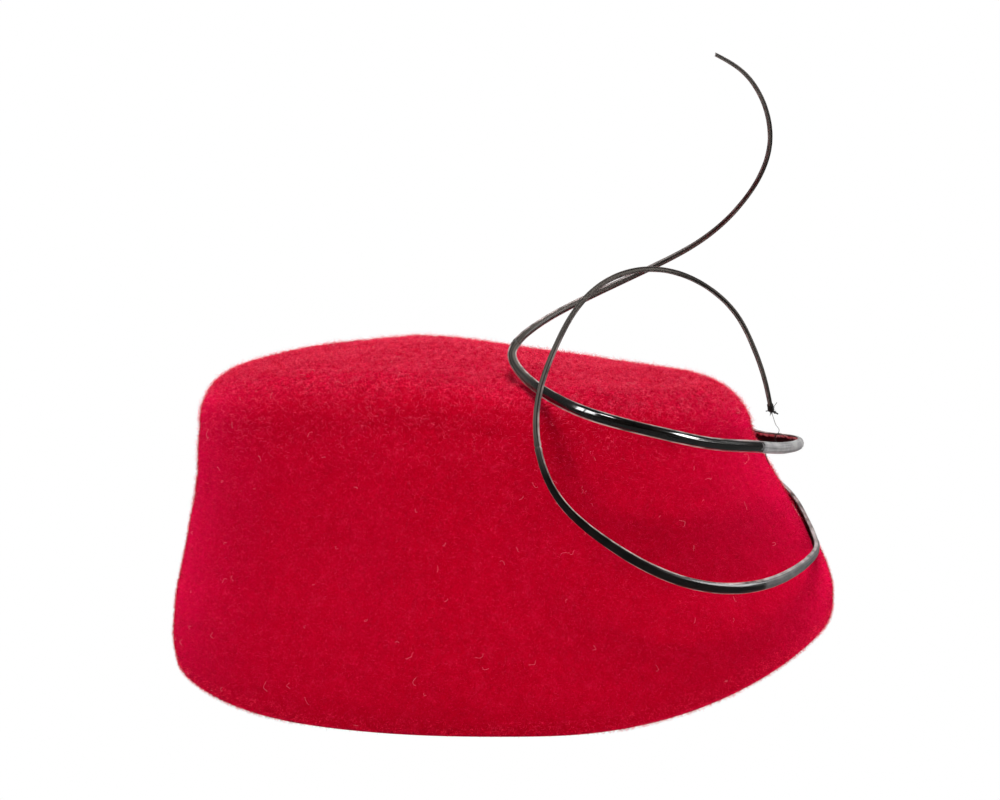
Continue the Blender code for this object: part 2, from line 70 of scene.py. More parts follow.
BAND_THICKNESS = 0.0008

FELT_COLUMNS = 300
RETURN_ROWS, FOLD_ROWS, WALL_ROWS, SHOULDER_ROWS, CROWN_ROWS = 5, 16, 76, 26, 36

# Soft dents in the blocked felt: (x, y, z), radii along x, y and z, depth. A negative depth bulges.
DENTS = (
    ((-0.064, -0.090, 0.050), (0.024, 0.030, 0.032), 0.0035),
    ((-0.030, -0.092, 0.040), (0.022, 0.030, 0.030), -0.0008),
    ((0.004, -0.085, 0.072), (0.009, 0.024, 0.026), 0.0016),
    ((0.022, -0.085, 0.078), (0.010, 0.024, 0.022), -0.0004),
    ((-0.012, -0.050, 0.114), (0.020, 0.018, 0.012), 0.0016),
    ((-0.048, -0.052, 0.115), (0.022, 0.018, 0.012), 0.0007),
    ((0.040, 0.080, 0.060), (0.028, 0.030, 0.034), 0.0016),
    ((-0.060, 0.085, 0.070), (0.022, 0.030, 0.024), 0.0012),
    ((0.102, -0.006, 0.058), (0.018, 0.026, 0.019), -0.0019),
)

# Quills, from the base on the felt to the tip, in millimetres: the stations and radii of the CAD centre
# lines. "facing" says which way the glossy back looks, at shares of the quill's length.
UPPER_QUILL = {
    "base": ((27.5, 87.2), (20.0, 86.8)),
    "thin_from": 0.455,
    "worn": 0,
    "cracks": (0.541,),
    "stations": (
        *((88.5, 15, 86.8), (95.5, 4, 87), (100, -20, 88.2), (92.5, -40, 89.2), (81.5, -58, 92)),
        *((71, -70, 94), (50.5, -88, 100), (31, -92, 105.5), (15, -75, 110.5), (4.5, -56, 117)),
        *((2, -45, 122), (10, -30, 129.5), (25.5, -13, 136.6), (43, -2, 143.8), (63, -3, 154)),
        *((79.5, -20, 170), (88, -45, 195), (79.5, -64, 215), (68, -80, 223)),
    ),
    "radii": (
        *(1.7, 1.7, 1.75, 1.85, 1.9, 1.9, 1.9, 1.9, 1.8, 1.6),
        *(1.4, 1.2, 1.1, 1.0, 0.9, 0.85, 0.8, 0.7, 0.6),
    ),
    "facing": (
        (0.00, (0.90, 0.15, 0.40)),
        (0.07, (0.80, 0.55, 0.10)),
        (0.13, (1.00, 0.00, 0.00)),
        (0.22, (0.62, -0.78, 0.05)),
        (0.34, (0.10, -0.98, 0.15)),
        (0.45, (0.00, -0.98, 0.20)),
        (0.60, (0.10, -0.98, -0.10)),
        (0.80, (0.35, -0.90, -0.20)),
        (1.00, (0.30, -0.90, 0.20)),
    ),
}
LOWER_QUILL = {
    "base": ((27.0, 71.5), (19.5, 70.0)),
    "thin_from": 0.550,
    "worn": 1,
    "cracks": (0.163, 0.577),
    "stations": (
        *((98.9, 11, 66.4), (103.2, -5, 60), (105.8, -19, 53.2), (104.6, -30, 52), (100, -48, 50.8)),
        *((92, -62, 48.4), (70.5, -84, 48.3), (50.5, -96, 55), (31, -101, 67), (16, -103, 82)),
        *((10, -101, 99.5), (10.5, -97, 112.5), (15.5, -92, 127.5), (24.5, -85, 142.5)),
        *((37.5, -74, 150.7), (47.5, -66, 151.8), (66.5, -52, 145), (77, -45, 135)),
        *((82, -40, 126), (88, -31, 109.5), (90, -26, 100.5)),
    ),
    "radii": (
        *(1.6, 1.6, 1.65, 1.65, 1.7, 1.75, 1.75, 1.65, 1.45, 1.2, 1.0),
        *(0.95, 0.9, 0.85, 0.85, 0.85, 0.8, 0.8, 0.8, 0.8, 0.8),
    ),
    "facing": (
        (0.00, (0.90, 0.15, 0.40)),
        (0.07, (0.95, 0.30, 0.20)),
        (0.14, (1.00, -0.10, -0.10)),
        (0.20, (0.75, -0.65, -0.15)),
        (0.28, (0.30, -0.95, -0.20)),
        (0.45, (-0.20, -0.97, 0.10)),
        (0.62, (-0.40, -0.85, 0.25)),
        (0.75, (0.05, -0.90, 0.40)),
        (1.00, (0.45, -0.85, 0.10)),
    ),
}
QUILL_LIFT = 0.0006
QUILL_RINGS = 920
BACK_FACETS = 20
KINK_SPAN, KINK_RISE, CRACK_SPAN, CRACK_DEPTH = 0.0040, 0.13, 0.0007, 0.30
THINNING = 0.035
FACE_FACETS = 10

# Thread, and the sewn and hung pieces, as in the CAD.
STITCH_SLACK = 0.0005
QUILL_STITCH_START, QUILL_STITCH_SPACING = 0.0025, 0.0035
TIE_POINTS = ((91.2, -21.0, 97.0), (92.8, -10.0, 93.3), (94.4, 1.0, 90.2), (94.9, 6.0, 88.9))
LOOSE_END = ((87.0, -47.0, 88.6), (87.2, -47.6, 87.4), (87.6, -47.8, 86.0), (88.4, -47.6, 84.6))
BAND_LOW, BAND_HIGH = 0.052, 0.077
BAND_FACE = FELT_THICKNESS + BAND_GAP + BAND_THICKNESS
RIBS = 750
KNOT_SPIKES = ((2.4, 0.4, -1.4), (1.5, -0.2, -1.2), (-1.8, 0.1, -0.4), (2.0, 0.0, 2.6))
WIRE_RADIUS = 0.0005
FERRULE_BORE, FERRULE_WALL, FERRULE_LENGTH = 0.0007, 0.00025, 0.007
ELASTIC_HEIGHT, ELASTIC_ANCHOR_ANGLE, CORD_OFF_BAND = 0.056, math.radians(98), 0.002
CORD_RADIUS, EYE_RADIUS, EYE_WIRE_RADIUS = 0.001, 0.0022, 0.0005
COMB_HEIGHT, COMB_TEETH, TOOTH_PITCH, TOOTH_LENGTH = 0.057, 13, 0.003, 0.027
TOOTH_WIDTH, TOOTH_TIP_WIDTH, SPINE_HEIGHT, COMB_THICKNESS = 0.0016, 0.0008, 0.0032, 0.0016
COMB_OFF_BAND, COMB_LOOP_RADIUS, COMB_LEAN_SHARE = 0.0044, 0.0025, 0.9
COMB_STITCH_GAPS = (-4.5, 0.5, 3.5)
LABEL_WIDTH, LABEL_HEIGHT, LABEL_TOP, LABEL_OFF_BAND = 0.028, 0.013, 0.075, 0.0026

# Where the felt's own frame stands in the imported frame, from the CAD shell's box.
FELT_LOW, FELT_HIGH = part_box("felt_shell")
OWN_MIDDLE = (FRONT_REACH[0] - BACK_REACH[0]) / 2
HAT_PLACE = Vector((
    (FELT_LOW.x + FELT_HIGH.x) / 2 - OWN_MIDDLE,
    (FELT_LOW.y + FELT_HIGH.y) / 2,
    FELT_LOW.z,
))

NAP_PIECES = 6
NAP_FIBRES = 48000
CURL_PIECES = 4
CURL_FIBRES = 14000
CURL_CLUMP = 7
HALO_PIECES = 4
HEM_FUZZ = 0.0022
FLUFF_DROP, FLUFF_BLEND = 0.0100, 0.0065
HALO_FIBRES = 14000

FELT_DEEP = (0.350, 0.0003, 0.0075)
FELT_RED = (0.440, 0.0005, 0.0120)
FELT_BRIGHT = (0.560, 0.0015, 0.0240)
CROWN_DEEP = (0.330, 0.0010, 0.0110)
# Painted light: the crown's lightest colour stands for top light and sheen seen at a grazing view.
CROWN_PAINTED_LIGHT = (0.710, 0.0200, 0.0720)
NAP_LIGHT = (0.68, 0.006, 0.048)
# The palest nap is partly real pale specks, partly painted sheen that gathers along the felt's outline.
NAP_PALE_AND_SHEEN = (0.74, 0.028, 0.080)
FIBRE_GLOW, HEM_GLOW = 0.12, 0.45
FELT_PALE = (0.86, 0.22, 0.27)
# Curls are paler than the felt: partly pale fibres, partly painted top light and sheen on the crown.
CURL_SHADES_AND_TOP_LIGHT = ((0.78, 0.030, 0.090), (0.85, 0.058, 0.130), (0.66, 0.006, 0.040), (0.82, 0.045, 0.110))
# Halo hairs are painted paler than the felt: painted backlight shining through the stray hairs.
HALO_SHADES_AND_BACKLIGHT = ((0.88, 0.090, 0.160), (0.78, 0.016, 0.050), (0.82, 0.040, 0.085), (0.80, 0.030, 0.080))
FELT_SHEEN, FIBRE_SHEEN = (1.0, 0.006, 0.12), (1.0, 0.04, 0.18)
CLUMP_SPREAD = 0.00035
NAP_LENGTHS, NAP_WIDTHS = (0.0006, 0.0016), (0.000030, 0.000055)
CURL_LENGTHS, CURL_RADIUS = (0.0010, 0.0022), 0.000040
HALO_LENGTHS, HALO_RADIUS = (0.0014, 0.0030), 0.000030
ROOT_DEPTH = 0.0001
STRAY_SHARE = 0.006
LOOSE_FIBRES, LOOSE_STEPS, LOOSE_RADIUS = 240, 14, 0.00004
STRAND_RADIUS, STRAND_SPACING, STRAND_DRIFT = 0.00018, 0.00030, 0.0003
RUNNING_STITCHES, RUNNING_LENGTH, RUNNING_RADIUS = 118, 0.030, 0.00017
HEM_STITCHES = 84
TIE_RADIUS, TIE_PITCH, LOOSE_END_RADIUS = 0.00009, 0.00030, 0.00014
KNOT_LOOPS, KNOT_ENDS, SPIKE_RADII = 9, 24, (0.00026, 0.00024, 0.00016, 0.00010)
CORD_RINGS, CORD_SIDES, BRAID_PITCH = 1800, 20, 0.0032
BALL_LOOPS, STALK_STRANDS, BALL_THREAD_RADIUS = 26, 5, 0.00020
COMB_END_RADIUS, TOOTH_START = 0.0011, 0.0006
LABEL_THICKNESS, LABEL_STITCHES, LABEL_THREAD_RADIUS = 0.00034, 11, 0.00015
LIGHT_GOAL = (0, 0, 0.08)
# Each light: name, place, width, height, power and the kind of ray that doesn't see it.
LIGHTS = (
    ("key", (0.10, -0.85, 2.1), 0.9, 0.6, 46, ""),
    ("top_box", (0.0, 0.45, 1.9), 1.2, 0.8, 24, "glossy"),
    ("left_box", (-0.95, 1.2, 0.5), 0.7, 1.0, 13, "glossy"),
    ("right_box", (1.10, 1.00, 0.2), 0.8, 1.0, 15, "glossy"),
    ("left_card", (-0.84, -0.44, 1.14), 0.95, 0.55, 26, "diffuse"),
    ("right_card", (1.0, 0.04, 0.50), 0.22, 0.30, 5, "diffuse"),
)
LENS, SENSOR_WIDTH = 165.3, 36
CAMERA_PLACE, CAMERA_GOAL = (0, -1.5757, 0.2778), (-0.0021, 0, 0.1010)
FLOOR_WHITE = 1.0
TABLE_GLOW = 0.15
ROOM_LIGHT = 0.008
BACKDROP_LIGHT = 0.12


# ---------- felt surface ----------

def through(stations, values, at):
    """A smooth curve through the values at the stations: a cubic with finite-difference slopes."""
    s, v = np.array(stations, float), np.array(values, float)
    index = np.arange(len(s))
    low, high = np.maximum(index - 1, 0), np.minimum(index + 1, len(s) - 1)
    slope = (v[high] - v[low]) / (s[high] - s[low])
    i = np.clip(np.searchsorted(s, at, "right") - 1, 0, len(s) - 2)
    span = s[i + 1] - s[i]
    t = (at - s[i]) / span
    rise = v[i] + (v[i + 1] - v[i]) * t * t * (3 - 2 * t)
    return rise + span * t * (1 - t) * ((1 - t) * slope[i] - t * slope[i + 1])


def frontness(angle):
    w = (1 + np.cos(angle)) / 2
    return w * w * (3 - 2 * w)


def outline(angle, front, back, side):
    reach = back + (front - back) * frontness(angle)
    return reach * np.cos(angle), side * np.sin(angle)


def crown_height(x):
    return through(CROWN_X, CROWN_HEIGHT, x)


def rim_height(angle):
    c = np.cos(angle)
    ahead = np.maximum(0, (c - FRONT_LIFT_START) / (1 - FRONT_LIFT_START))
    behind = np.maximum(0, (-c - BACK_LIFT_START) / (1 - BACK_LIFT_START))
    return FOLD_RADIUS + FRONT_LIFT * ahead**FRONT_LIFT_POWER + BACK_LIFT * behind**BACK_LIFT_POWER


def shoulder_height(angle):
    x, _ = outline(angle, FRONT_REACH[-1], BACK_REACH[-1], SIDE_REACH[-1])
    return crown_height(x) - SHOULDER_RADIUS


def rolled(points, height):
    """Rolls the wall's foot inwards, as a pressed hem does. Height is above the rim."""
    above = np.clip(height / ROLL_HEIGHT, 0, 1)
    scale = 1 - ROLL_INSET * (1 - above) ** 2 / np.linalg.norm(points[..., :2], axis=-1)
    return points * np.stack([scale, scale, np.ones_like(scale)], -1)


def wall(angle, share):
    front, back, side = (through(WALL_SHARES, r, share) for r in (FRONT_REACH, BACK_REACH, SIDE_REACH))
    x, y = outline(angle, front, back, side)
    low = rim_height(angle)
    height = (shoulder_height(angle) - low) * share
    return rolled(np.stack([x, y, low + height], -1), height)


def fold(angle, inset, drop):
    x, y = outline(angle, FRONT_REACH[0] - inset, BACK_REACH[0] - inset, SIDE_REACH[0] - inset)
    return rolled(np.stack([x, y, rim_height(angle) - drop], -1), -drop)


def shoulder(angle, turn):
    inset = SHOULDER_RADIUS * (1 - math.cos(turn))
    x, y = outline(angle, FRONT_REACH[-1] - inset, BACK_REACH[-1] - inset, SIDE_REACH[-1] - inset)
    return np.stack([x, y, crown_height(x) - SHOULDER_RADIUS * (1 - math.sin(turn))], -1)


def crown(angle, scale):
    inset = SHOULDER_RADIUS
    x, y = outline(angle, FRONT_REACH[-1] - inset, BACK_REACH[-1] - inset, SIDE_REACH[-1] - inset)
    x, y = x * scale, y * scale
    return np.stack([x, y, crown_height(x) + CROWN_DOME * (1 - scale * scale)], -1)


def unit(v):
    return v / np.maximum(np.linalg.norm(v, axis=-1, keepdims=True), 1e-12)


def ripple(points, wavelength, seed, waves=14):
    """Smooth noise with standard deviation 1, as a sum of sine waves in random directions."""
    rng = np.random.default_rng(seed)
    directions = unit(rng.normal(size=(waves, 3)))
    scales = TURN / wavelength * rng.uniform(0.7, 1.4, waves)
    phases = rng.uniform(0, TURN, waves)
    return np.sin(points @ (directions * scales[:, None]).T + phases).sum(-1) * math.sqrt(2 / waves)


def dent_depth(points):
    """How deep the felt's soft dents are here, and the slight waviness of felt blocked by hand."""
    depth = np.zeros(points.shape[:-1])
    for centre, radii, amount in DENTS:
        away = (((points - np.array(centre)) / np.array(radii)) ** 2).sum(-1)
        depth += amount * np.exp(-away)
    high = np.clip((points[..., 2] - 0.012) / 0.03, 0, 1)
    waviness = 0.00028 * ripple(points, 0.055, 3) + 0.00010 * ripple(points, 0.017, 4)
    return depth - waviness * high


def felt_grid():
    """(points, normals) of the felt's outer surface. Rows run from the hem's inner edge to the crown."""
    angle = round_angles(FELT_COLUMNS)
    rows = [fold(angle, 2 * FOLD_RADIUS, -HEM_RETURN * (1 - i / RETURN_ROWS)) for i in range(RETURN_ROWS)]
    for i in range(FOLD_ROWS):
        turn = math.pi * (1 - i / FOLD_ROWS)
        rows.append(fold(angle, FOLD_RADIUS * (1 - math.cos(turn)), FOLD_RADIUS * math.sin(turn)))
    rows += [wall(angle, i / WALL_ROWS) for i in range(WALL_ROWS)]
    rows += [shoulder(angle, math.pi / 2 * i / SHOULDER_ROWS) for i in range(SHOULDER_ROWS)]
    rows += [crown(angle, 1 - 0.985 * i / (CROWN_ROWS - 1)) for i in range(CROWN_ROWS)]
    points = np.array(rows)
    around = np.roll(points, -1, 1) - np.roll(points, 1, 1)
    up = np.gradient(points, axis=0)
    normals = unit(np.cross(around, up))
    return points - normals * dent_depth(points)[..., None], normals


# ---------- mesh helpers ----------

def round_angles(count):
    return np.arange(count) * TURN / count


def grid_faces(rows, columns, closed=False, first=0):
    """Quads of a grid of points that closes round its columns, and round its rows too if closed."""
    r, c = np.meshgrid(np.arange(rows if closed else rows - 1), np.arange(columns), indexing="ij")
    low, high, after = r * columns, (r + 1) % rows * columns, (c + 1) % columns
    quads = np.stack([low + c, low + after, high + after, high + c], -1)
    return (first + quads).reshape(-1, 4).tolist()


def new_object(name, data):
    obj = bpy.data.objects.new(name, data)
    bpy.context.scene.collection.objects.link(obj)
    return obj


def make_object(name, points, faces):
    mesh = bpy.data.meshes.new(name)
    mesh.from_pydata(np.asarray(points, float).reshape(-1, 3).tolist(), [], faces)
    mesh.shade_smooth()
    return new_object(name, mesh)


def make_copies(name, points, pattern):
    """One object of many small bodies. Points has a row for each body, and pattern is its faces."""
    count, corners = points.shape[:2]
    sizes = np.array([len(face) for face in pattern])
    flat = np.concatenate(pattern)
    loops = (np.arange(count)[:, None] * corners + flat).ravel()
    mesh = bpy.data.meshes.new(name)
    mesh.vertices.add(count * corners)
    mesh.vertices.foreach_set("co", points.astype(np.float32).ravel())
    mesh.loops.add(len(loops))
    mesh.loops.foreach_set("vertex_index", loops.astype(np.int32))
    mesh.polygons.add(count * len(pattern))
    totals = np.tile(sizes, count)
    starts = np.concatenate([[0], np.cumsum(totals)[:-1]])
    mesh.polygons.foreach_set("loop_start", starts.astype(np.int32))
    mesh.update(calc_edges=True)
    mesh.validate()
    mesh.shade_smooth()
    return new_object(name, mesh)


def put_on(obj, finishes, body, slot, *nodes):
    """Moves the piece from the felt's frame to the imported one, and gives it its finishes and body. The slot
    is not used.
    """
    for finish in finishes if isinstance(finishes, tuple) else (finishes,):
        obj.data.materials.append(MATERIALS.get(finish, finish))
    obj.location = HAT_PLACE
    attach(obj, body)
    if nodes:
        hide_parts(*nodes)


def thicken(obj, thickness, offset, even=False):
    solidify = obj.modifiers.new("thickness", "SOLIDIFY")
    solidify.thickness = thickness
    solidify.offset = offset
    solidify.use_even_offset = even


def tube_parts(points, outs, sections, first=0):
    """(points, faces) of a closed sweep. A section is a ring of (out, side) offsets for each point."""
    along = unit(np.gradient(points, axis=0))
    outs = unit(outs - along * (outs * along).sum(-1, keepdims=True))
    sides = np.cross(along, outs)
    sections = np.broadcast_to(sections, (len(points), *np.shape(sections)[-2:]))
    rings = points[:, None] + outs[:, None] * sections[..., :1] + sides[:, None] * sections[..., 1:]
    count = rings.shape[1]
    last = first + (len(points) - 1) * count
    faces = grid_faces(len(points), count, first=first)
    faces += [[*range(first, first + count)][::-1], [*range(last, last + count)]]
    return rings.reshape(-1, 3), faces


def make_tubes(name, tubes):
    """One object of closed sweeps. Each tube is (path, outs, sections)."""
    points, faces, first = [], [], 0
    for tube in tubes:
        p, f = tube_parts(*tube, first)
        points.append(p)
        faces += f
        first += len(p)
    return make_object(name, np.concatenate(points), faces)


def circle(radius, sides):
    """A ring section of this radius."""
    turn = round_angles(sides)
    return np.stack([np.cos(turn), np.sin(turn)], -1) * radius


def steady_outs(points, start=(0.13, 0.21, 0.97)):
    """Directions across a path that turn as little as they can."""
    along = unit(np.gradient(points, axis=0))
    outs, out = [], np.array(start, float)
    for a in along:
        out = out - a * (out @ a)
        out = out / np.linalg.norm(out)
        outs.append(out)
    return np.array(outs)


def threads(name, paths, radius, sides=6):
    """One object made of round closed threads, one for each path. Radius may be one a path."""
    sizes = np.broadcast_to(radius, len(paths))
    return make_tubes(name, [(p, steady_outs(p), circle(r, sides)) for p, r in zip(paths, sizes)])


def sew(name, paths, radius, colour, body, *nodes):
    put_on(threads(name, paths, radius), colour, body, "thread", *nodes)


def lathe(radii, offsets, sides):
    """Rings round the Y axis for a closed profile, and their faces."""
    turn = round_angles(sides)
    radii, offsets = radii[:, None], offsets[:, None]
    rings = np.stack([radii * np.cos(turn), offsets + 0 * turn, radii * np.sin(turn)], -1)
    return rings, grid_faces(len(rings), sides, True)


def spline(points, count, values=None):
    """Places evenly spaced along the natural cubic spline through the points, and any values there."""
    corners = np.array(points, float)
    lengths = np.concatenate([[0], np.cumsum(np.linalg.norm(np.diff(corners, axis=0), axis=1))])
    spans = np.diff(lengths)
    bends = np.zeros_like(corners)
    inner = np.diag(2 * (spans[:-1] + spans[1:])) + np.diag(spans[1:-1], 1) + np.diag(spans[1:-1], -1)
    bends[1:-1] = np.linalg.solve(inner, 6 * np.diff(np.diff(corners, axis=0) / spans[:, None], axis=0))
    at = np.linspace(0, lengths[-1], count)
    k = np.clip(np.searchsorted(lengths, at, "right") - 1, 0, len(spans) - 1)
    t = ((at - lengths[k]) / spans[k])[:, None]
    bulge = (1 - t) * ((1 - t) ** 2 - 1) * bends[k] + t * (t * t - 1) * bends[k + 1]
    path = corners[k] * (1 - t) + corners[k + 1] * t + bulge * spans[k][:, None] ** 2 / 6
    return path if values is None else (path, np.interp(at, lengths, values))


def off_wall(angle, height, distance):
    """The point of the wall at this angle and height, moved out by distance. Negative is inside."""
    angle = np.asarray(angle, float)
    low = rim_height(angle)
    share = (height - low) / (shoulder_height(angle) - low)
    place = wall(angle, share)
    return place + wall_normal(angle, share) * (np.asarray(distance) - dent_depth(place))[..., None]


def wall_normal(angle, share):
    step = 1e-3
    along = wall(angle + step, share) - wall(angle - step, share)
    up = wall(angle, share + step) - wall(angle, share - step)
    return unit(np.cross(along, up))


# ---------- materials ----------

class Nodes:
    """A node tree with short ways to fill it. An input takes a socket, a value or a colour."""

    def __init__(self, owner, main):
        owner.use_nodes = True
        self.owner, self.tree = owner, owner.node_tree
        self.main = self.tree.nodes[main]

    def feed(self, socket, value):
        if isinstance(value, bpy.types.NodeSocket):
            self.tree.links.new(value, socket)
        elif isinstance(value, tuple) and len(value) < len(socket.default_value):
            socket.default_value = (*value, 1)
        else:
            socket.default_value = value

    def set(self, **values):
        for key, value in values.items():
            self.feed(self.main.inputs[key.replace("_", " ")], value)

    def node(self, kind, **values):
        """A new shader node with these properties and inputs."""
        made = self.tree.nodes.new("ShaderNode" + kind)
        for key, value in values.items():
            if hasattr(made, key):
                setattr(made, key, value)
            else:
                self.feed(made.inputs[key.replace("_", " ")], value)
        return made

    def coords(self):
        return self.node("TexCoord").outputs["Object"]

    def uv(self, name):
        return self.node("UVMap", uv_map=name).outputs["UV"]

    def split(self, vector):
        return self.node("SeparateXYZ", Vector=vector).outputs

    def noise(self, place, scale, detail=3.0, rough=0.55):
        made = self.node("TexNoise", Vector=place, Scale=scale, Detail=detail, Roughness=rough)
        return made.outputs["Fac"]

    def streaks(self, uv, scale, detail, rough):
        """Noise stretched along a quill."""
        stretched = self.node("Mapping", Vector=uv, Scale=(*scale, 1)).outputs["Vector"]
        return self.noise(stretched, 1.0, detail, rough)

    def ramp(self, factor, *stops):
        """Colours blended over the factor. Stops are (position, colour)."""
        made = self.node("ValToRGB", Fac=factor)
        elements = made.color_ramp.elements
        while len(elements) < len(stops):
            elements.new(0.5)
        for element, (position, colour) in zip(elements, stops):
            element.position = position
            element.color = (*colour, 1)
        return made.outputs["Color"]

    def mix(self, factor, a, b):
        made = self.node("Mix", data_type="RGBA")
        for index, value in ((0, factor), (6, a), (7, b)):
            self.feed(made.inputs[index], value)
        return made.outputs[2]

    def maths(self, operation, a, b):
        made = self.node("Math", operation=operation)
        self.feed(made.inputs[0], a)
        self.feed(made.inputs[1], b)
        return made.outputs[0]

    def product(self, *sockets):
        return reduce(lambda a, b: self.maths("MULTIPLY", a, b), sockets)

    def total(self, *parts):
        """The sum of (socket, weight) pairs."""
        return reduce(lambda a, b: self.maths("ADD", a, b), [self.product(*part) for part in parts])

    def span(self, value, low, high, start, end):
        """Maps low..high of a value to start..end, held at both ends."""
        made = self.node("MapRange", Value=value, From_Min=low, From_Max=high, To_Min=start, To_Max=end)
        return made.outputs["Result"]

    def bump(self, height, strength, distance):
        made = self.node("Bump", Height=height, Strength=strength, Distance=distance)
        self.set(Normal=made.outputs["Normal"])


def finish(name, roughness, metallic=0.0, **values):
    """The nodes of a new Principled material."""
    made = Nodes(bpy.data.materials.new(name), "Principled BSDF")
    made.set(Roughness=roughness, Metallic=metallic, **values)
    return made


def felt_material():
    """Brushed wool felt: mottled dye, matted fibres and a soft sheen, with painted top light and sheen on the
    crown.
    """
    felt = finish("felt", 0.95, Specular_IOR_Level=0.0, Sheen_Weight=0.8, Sheen_Roughness=0.5)
    place = felt.coords()
    broad = felt.noise(place, 28, 3)
    mottle = felt.noise(place, 260, 4, 0.6)
    speck = felt.noise(place, 1500, 3, 0.7)
    blend = felt.total((broad, 0.14), (mottle, 0.20), (speck, 0.66))
    wall_colour = felt.ramp(blend, (0.34, FELT_DEEP), (0.50, FELT_RED), (0.68, FELT_BRIGHT))
    tufts = felt.total((felt.noise(place, 1250, 3, 0.6), 0.75), (mottle, 0.25))
    # The crown's tufts, with their lightest stop painted: top light and sheen on the crown.
    crown_tufts_and_painted_light = felt.ramp(tufts, (0.40, CROWN_DEEP), (0.50, FELT_RED), (0.62, CROWN_PAINTED_LIGHT))
    crown_fluff_and_light = felt.node("Attribute", attribute_name="fluffiness").outputs["Fac"]
    fluff_and_light_mask = felt.span(felt.total((crown_fluff_and_light, 1.0), (mottle, 0.8)), 0.35, 1.25, 0, 1)
    felt.set(Base_Color=felt.mix(fluff_and_light_mask, wall_colour, crown_tufts_and_painted_light), Sheen_Tint=FELT_SHEEN)
    height = felt.total((felt.noise(place, 900, 4, 0.7), 1.0), (mottle, 1.2))
    felt.bump(height, 0.55, 0.0006)
    return felt.owner


def fibre_material(name, colour, glow=0.0):
    """Wool fibre. The glow stands in for the light that passes through loose fibres."""
    fibre = finish(name, 0.9, Specular_IOR_Level=0.0, Sheen_Weight=0.3, Sheen_Tint=FIBRE_SHEEN)
    fibre.set(Base_Color=colour, Emission_Color=colour, Emission_Strength=glow)
    return fibre.owner


def backdrop_reflection(quill, coords):
    """Painted reflection of the white backdrop where the lacquer faces right: how far it goes to matt grey,
    on outer bends at the front, most on the upper one.
    """
    x, y, z, *_ = quill.split(coords).values()
    uneven = quill.total((x, 1.0), (quill.noise(coords, 620, 3, 0.6), 0.0035))
    return quill.product(
        quill.span(uneven, 0.0872, 0.0888, 0, 1),
        quill.span(y, -0.014, -0.006, 1, 0),
        quill.span(z, 0.0925, 0.0935, 1, 0),
        quill.span(z, 0.066, 0.080, 0.42, 1.0),
    )


def lacquer_material():
    """Black lacquer over a spine with raw pale edges: glossy where thick, dull and brownish where thin, with
    a painted backdrop reflection in grey.
    """
    quill = finish("quill_lacquer", 0.16, Coat_Roughness=0.08)
    uv = quill.uv("along")
    along, across, *_ = quill.split(uv).values()
    thin, worn, *_ = quill.split(quill.uv("wear")).values()
    coords = quill.coords()
    grain = quill.streaks(uv, (14, 11), 4, 0.6)
    patches = quill.noise(coords, 170, 4, 0.6)
    blend = quill.total((grain, 0.5), (patches, 0.5))
    black = quill.ramp(blend, (0.42, (0.001, 0.001, 0.001)), (0.70, (0.008, 0.006, 0.005)))
    ribs = quill.streaks(uv, (9, 4.5), 2, 0.5)
    dull = quill.ramp(ribs, (0.40, (0.010, 0.008, 0.0065)), (0.62, (0.085, 0.074, 0.064)))
    # Painted reflection: the grey that the right-facing bends show of the white backdrop.
    grey = quill.ramp(blend, (0.38, (0.14, 0.14, 0.14)), (0.62, (0.38, 0.37, 0.37)))
    raw = quill.ramp(patches, (0.36, (0.08, 0.062, 0.06)), (0.60, (0.42, 0.34, 0.33)))
    # Where the painted reflection of the backdrop goes.
    painted_reflection = backdrop_reflection(quill, coords)
    upper_edge = quill.total((across, 1.0), (thin, 0.055), (grain, 0.05))
    lower_edge = quill.total((across, 1.0), (thin, -0.055), (grain, 0.06))
    edges = quill.total(
        (quill.span(upper_edge, 0.775, 0.800, 0, 1), 1.0),
        (quill.span(lower_edge, 0.235, 0.260, 1, 0), 1.0),
    )
    # Full-strength pale edges are raw spine; the faint line left towards the tip is a painted highlight.
    edge = quill.product(edges, quill.span(along, 0.58, 0.70, 1, 0.30))
    body = quill.mix(thin, black, dull)
    rough = quill.total(
        (quill.span(patches, 0, 1, 0.05, 0.26), 1.0),
        (thin, 0.30),
        (worn, 0.16),
        (edge, 0.20),
        (painted_reflection, 0.35),
    )
    coat = quill.product(
        quill.span(painted_reflection, 0, 0.4, 0.6, 0.0),
        quill.span(thin, 0, 1, 1.0, 0.05),
        quill.span(worn, 0, 1, 1.0, 0.35),
    )
    gloss = quill.product(quill.span(worn, 0, 1, 0.5, 0.25), quill.span(thin, 0, 1, 1.0, 0.5))
    colour = quill.mix(painted_reflection, quill.mix(edge, body, raw), grey)
    quill.set(Base_Color=colour, Roughness=rough, Coat_Weight=coat, Specular_IOR_Level=gloss)
    quill.bump(grain, 0.12, 0.00012)
    return quill.owner


def pith_material():
    """The spine's hollow inner side: dull dark dye, with bare pale pith near one edge."""
    pith = finish("quill_pith", 0.6, Specular_IOR_Level=0.1)
    patches = pith.noise(pith.coords(), 420, 4, 0.65)
    dark = pith.ramp(patches, (0.40, (0.004, 0.0035, 0.003)), (0.72, (0.014, 0.012, 0.011)))
    pale = pith.ramp(patches, (0.38, (0.03, 0.025, 0.025)), (0.52, (0.66, 0.64, 0.63)))
    across = pith.split(pith.uv("along"))["Y"]
    bare = pith.span(pith.total((across, 1.0), (patches, -0.5)), 0.98, 1.14, 1, 0)
    pith.set(Base_Color=pith.mix(bare, dark, pale))
    pith.bump(patches, 0.5, 0.0002)
    return pith.owner


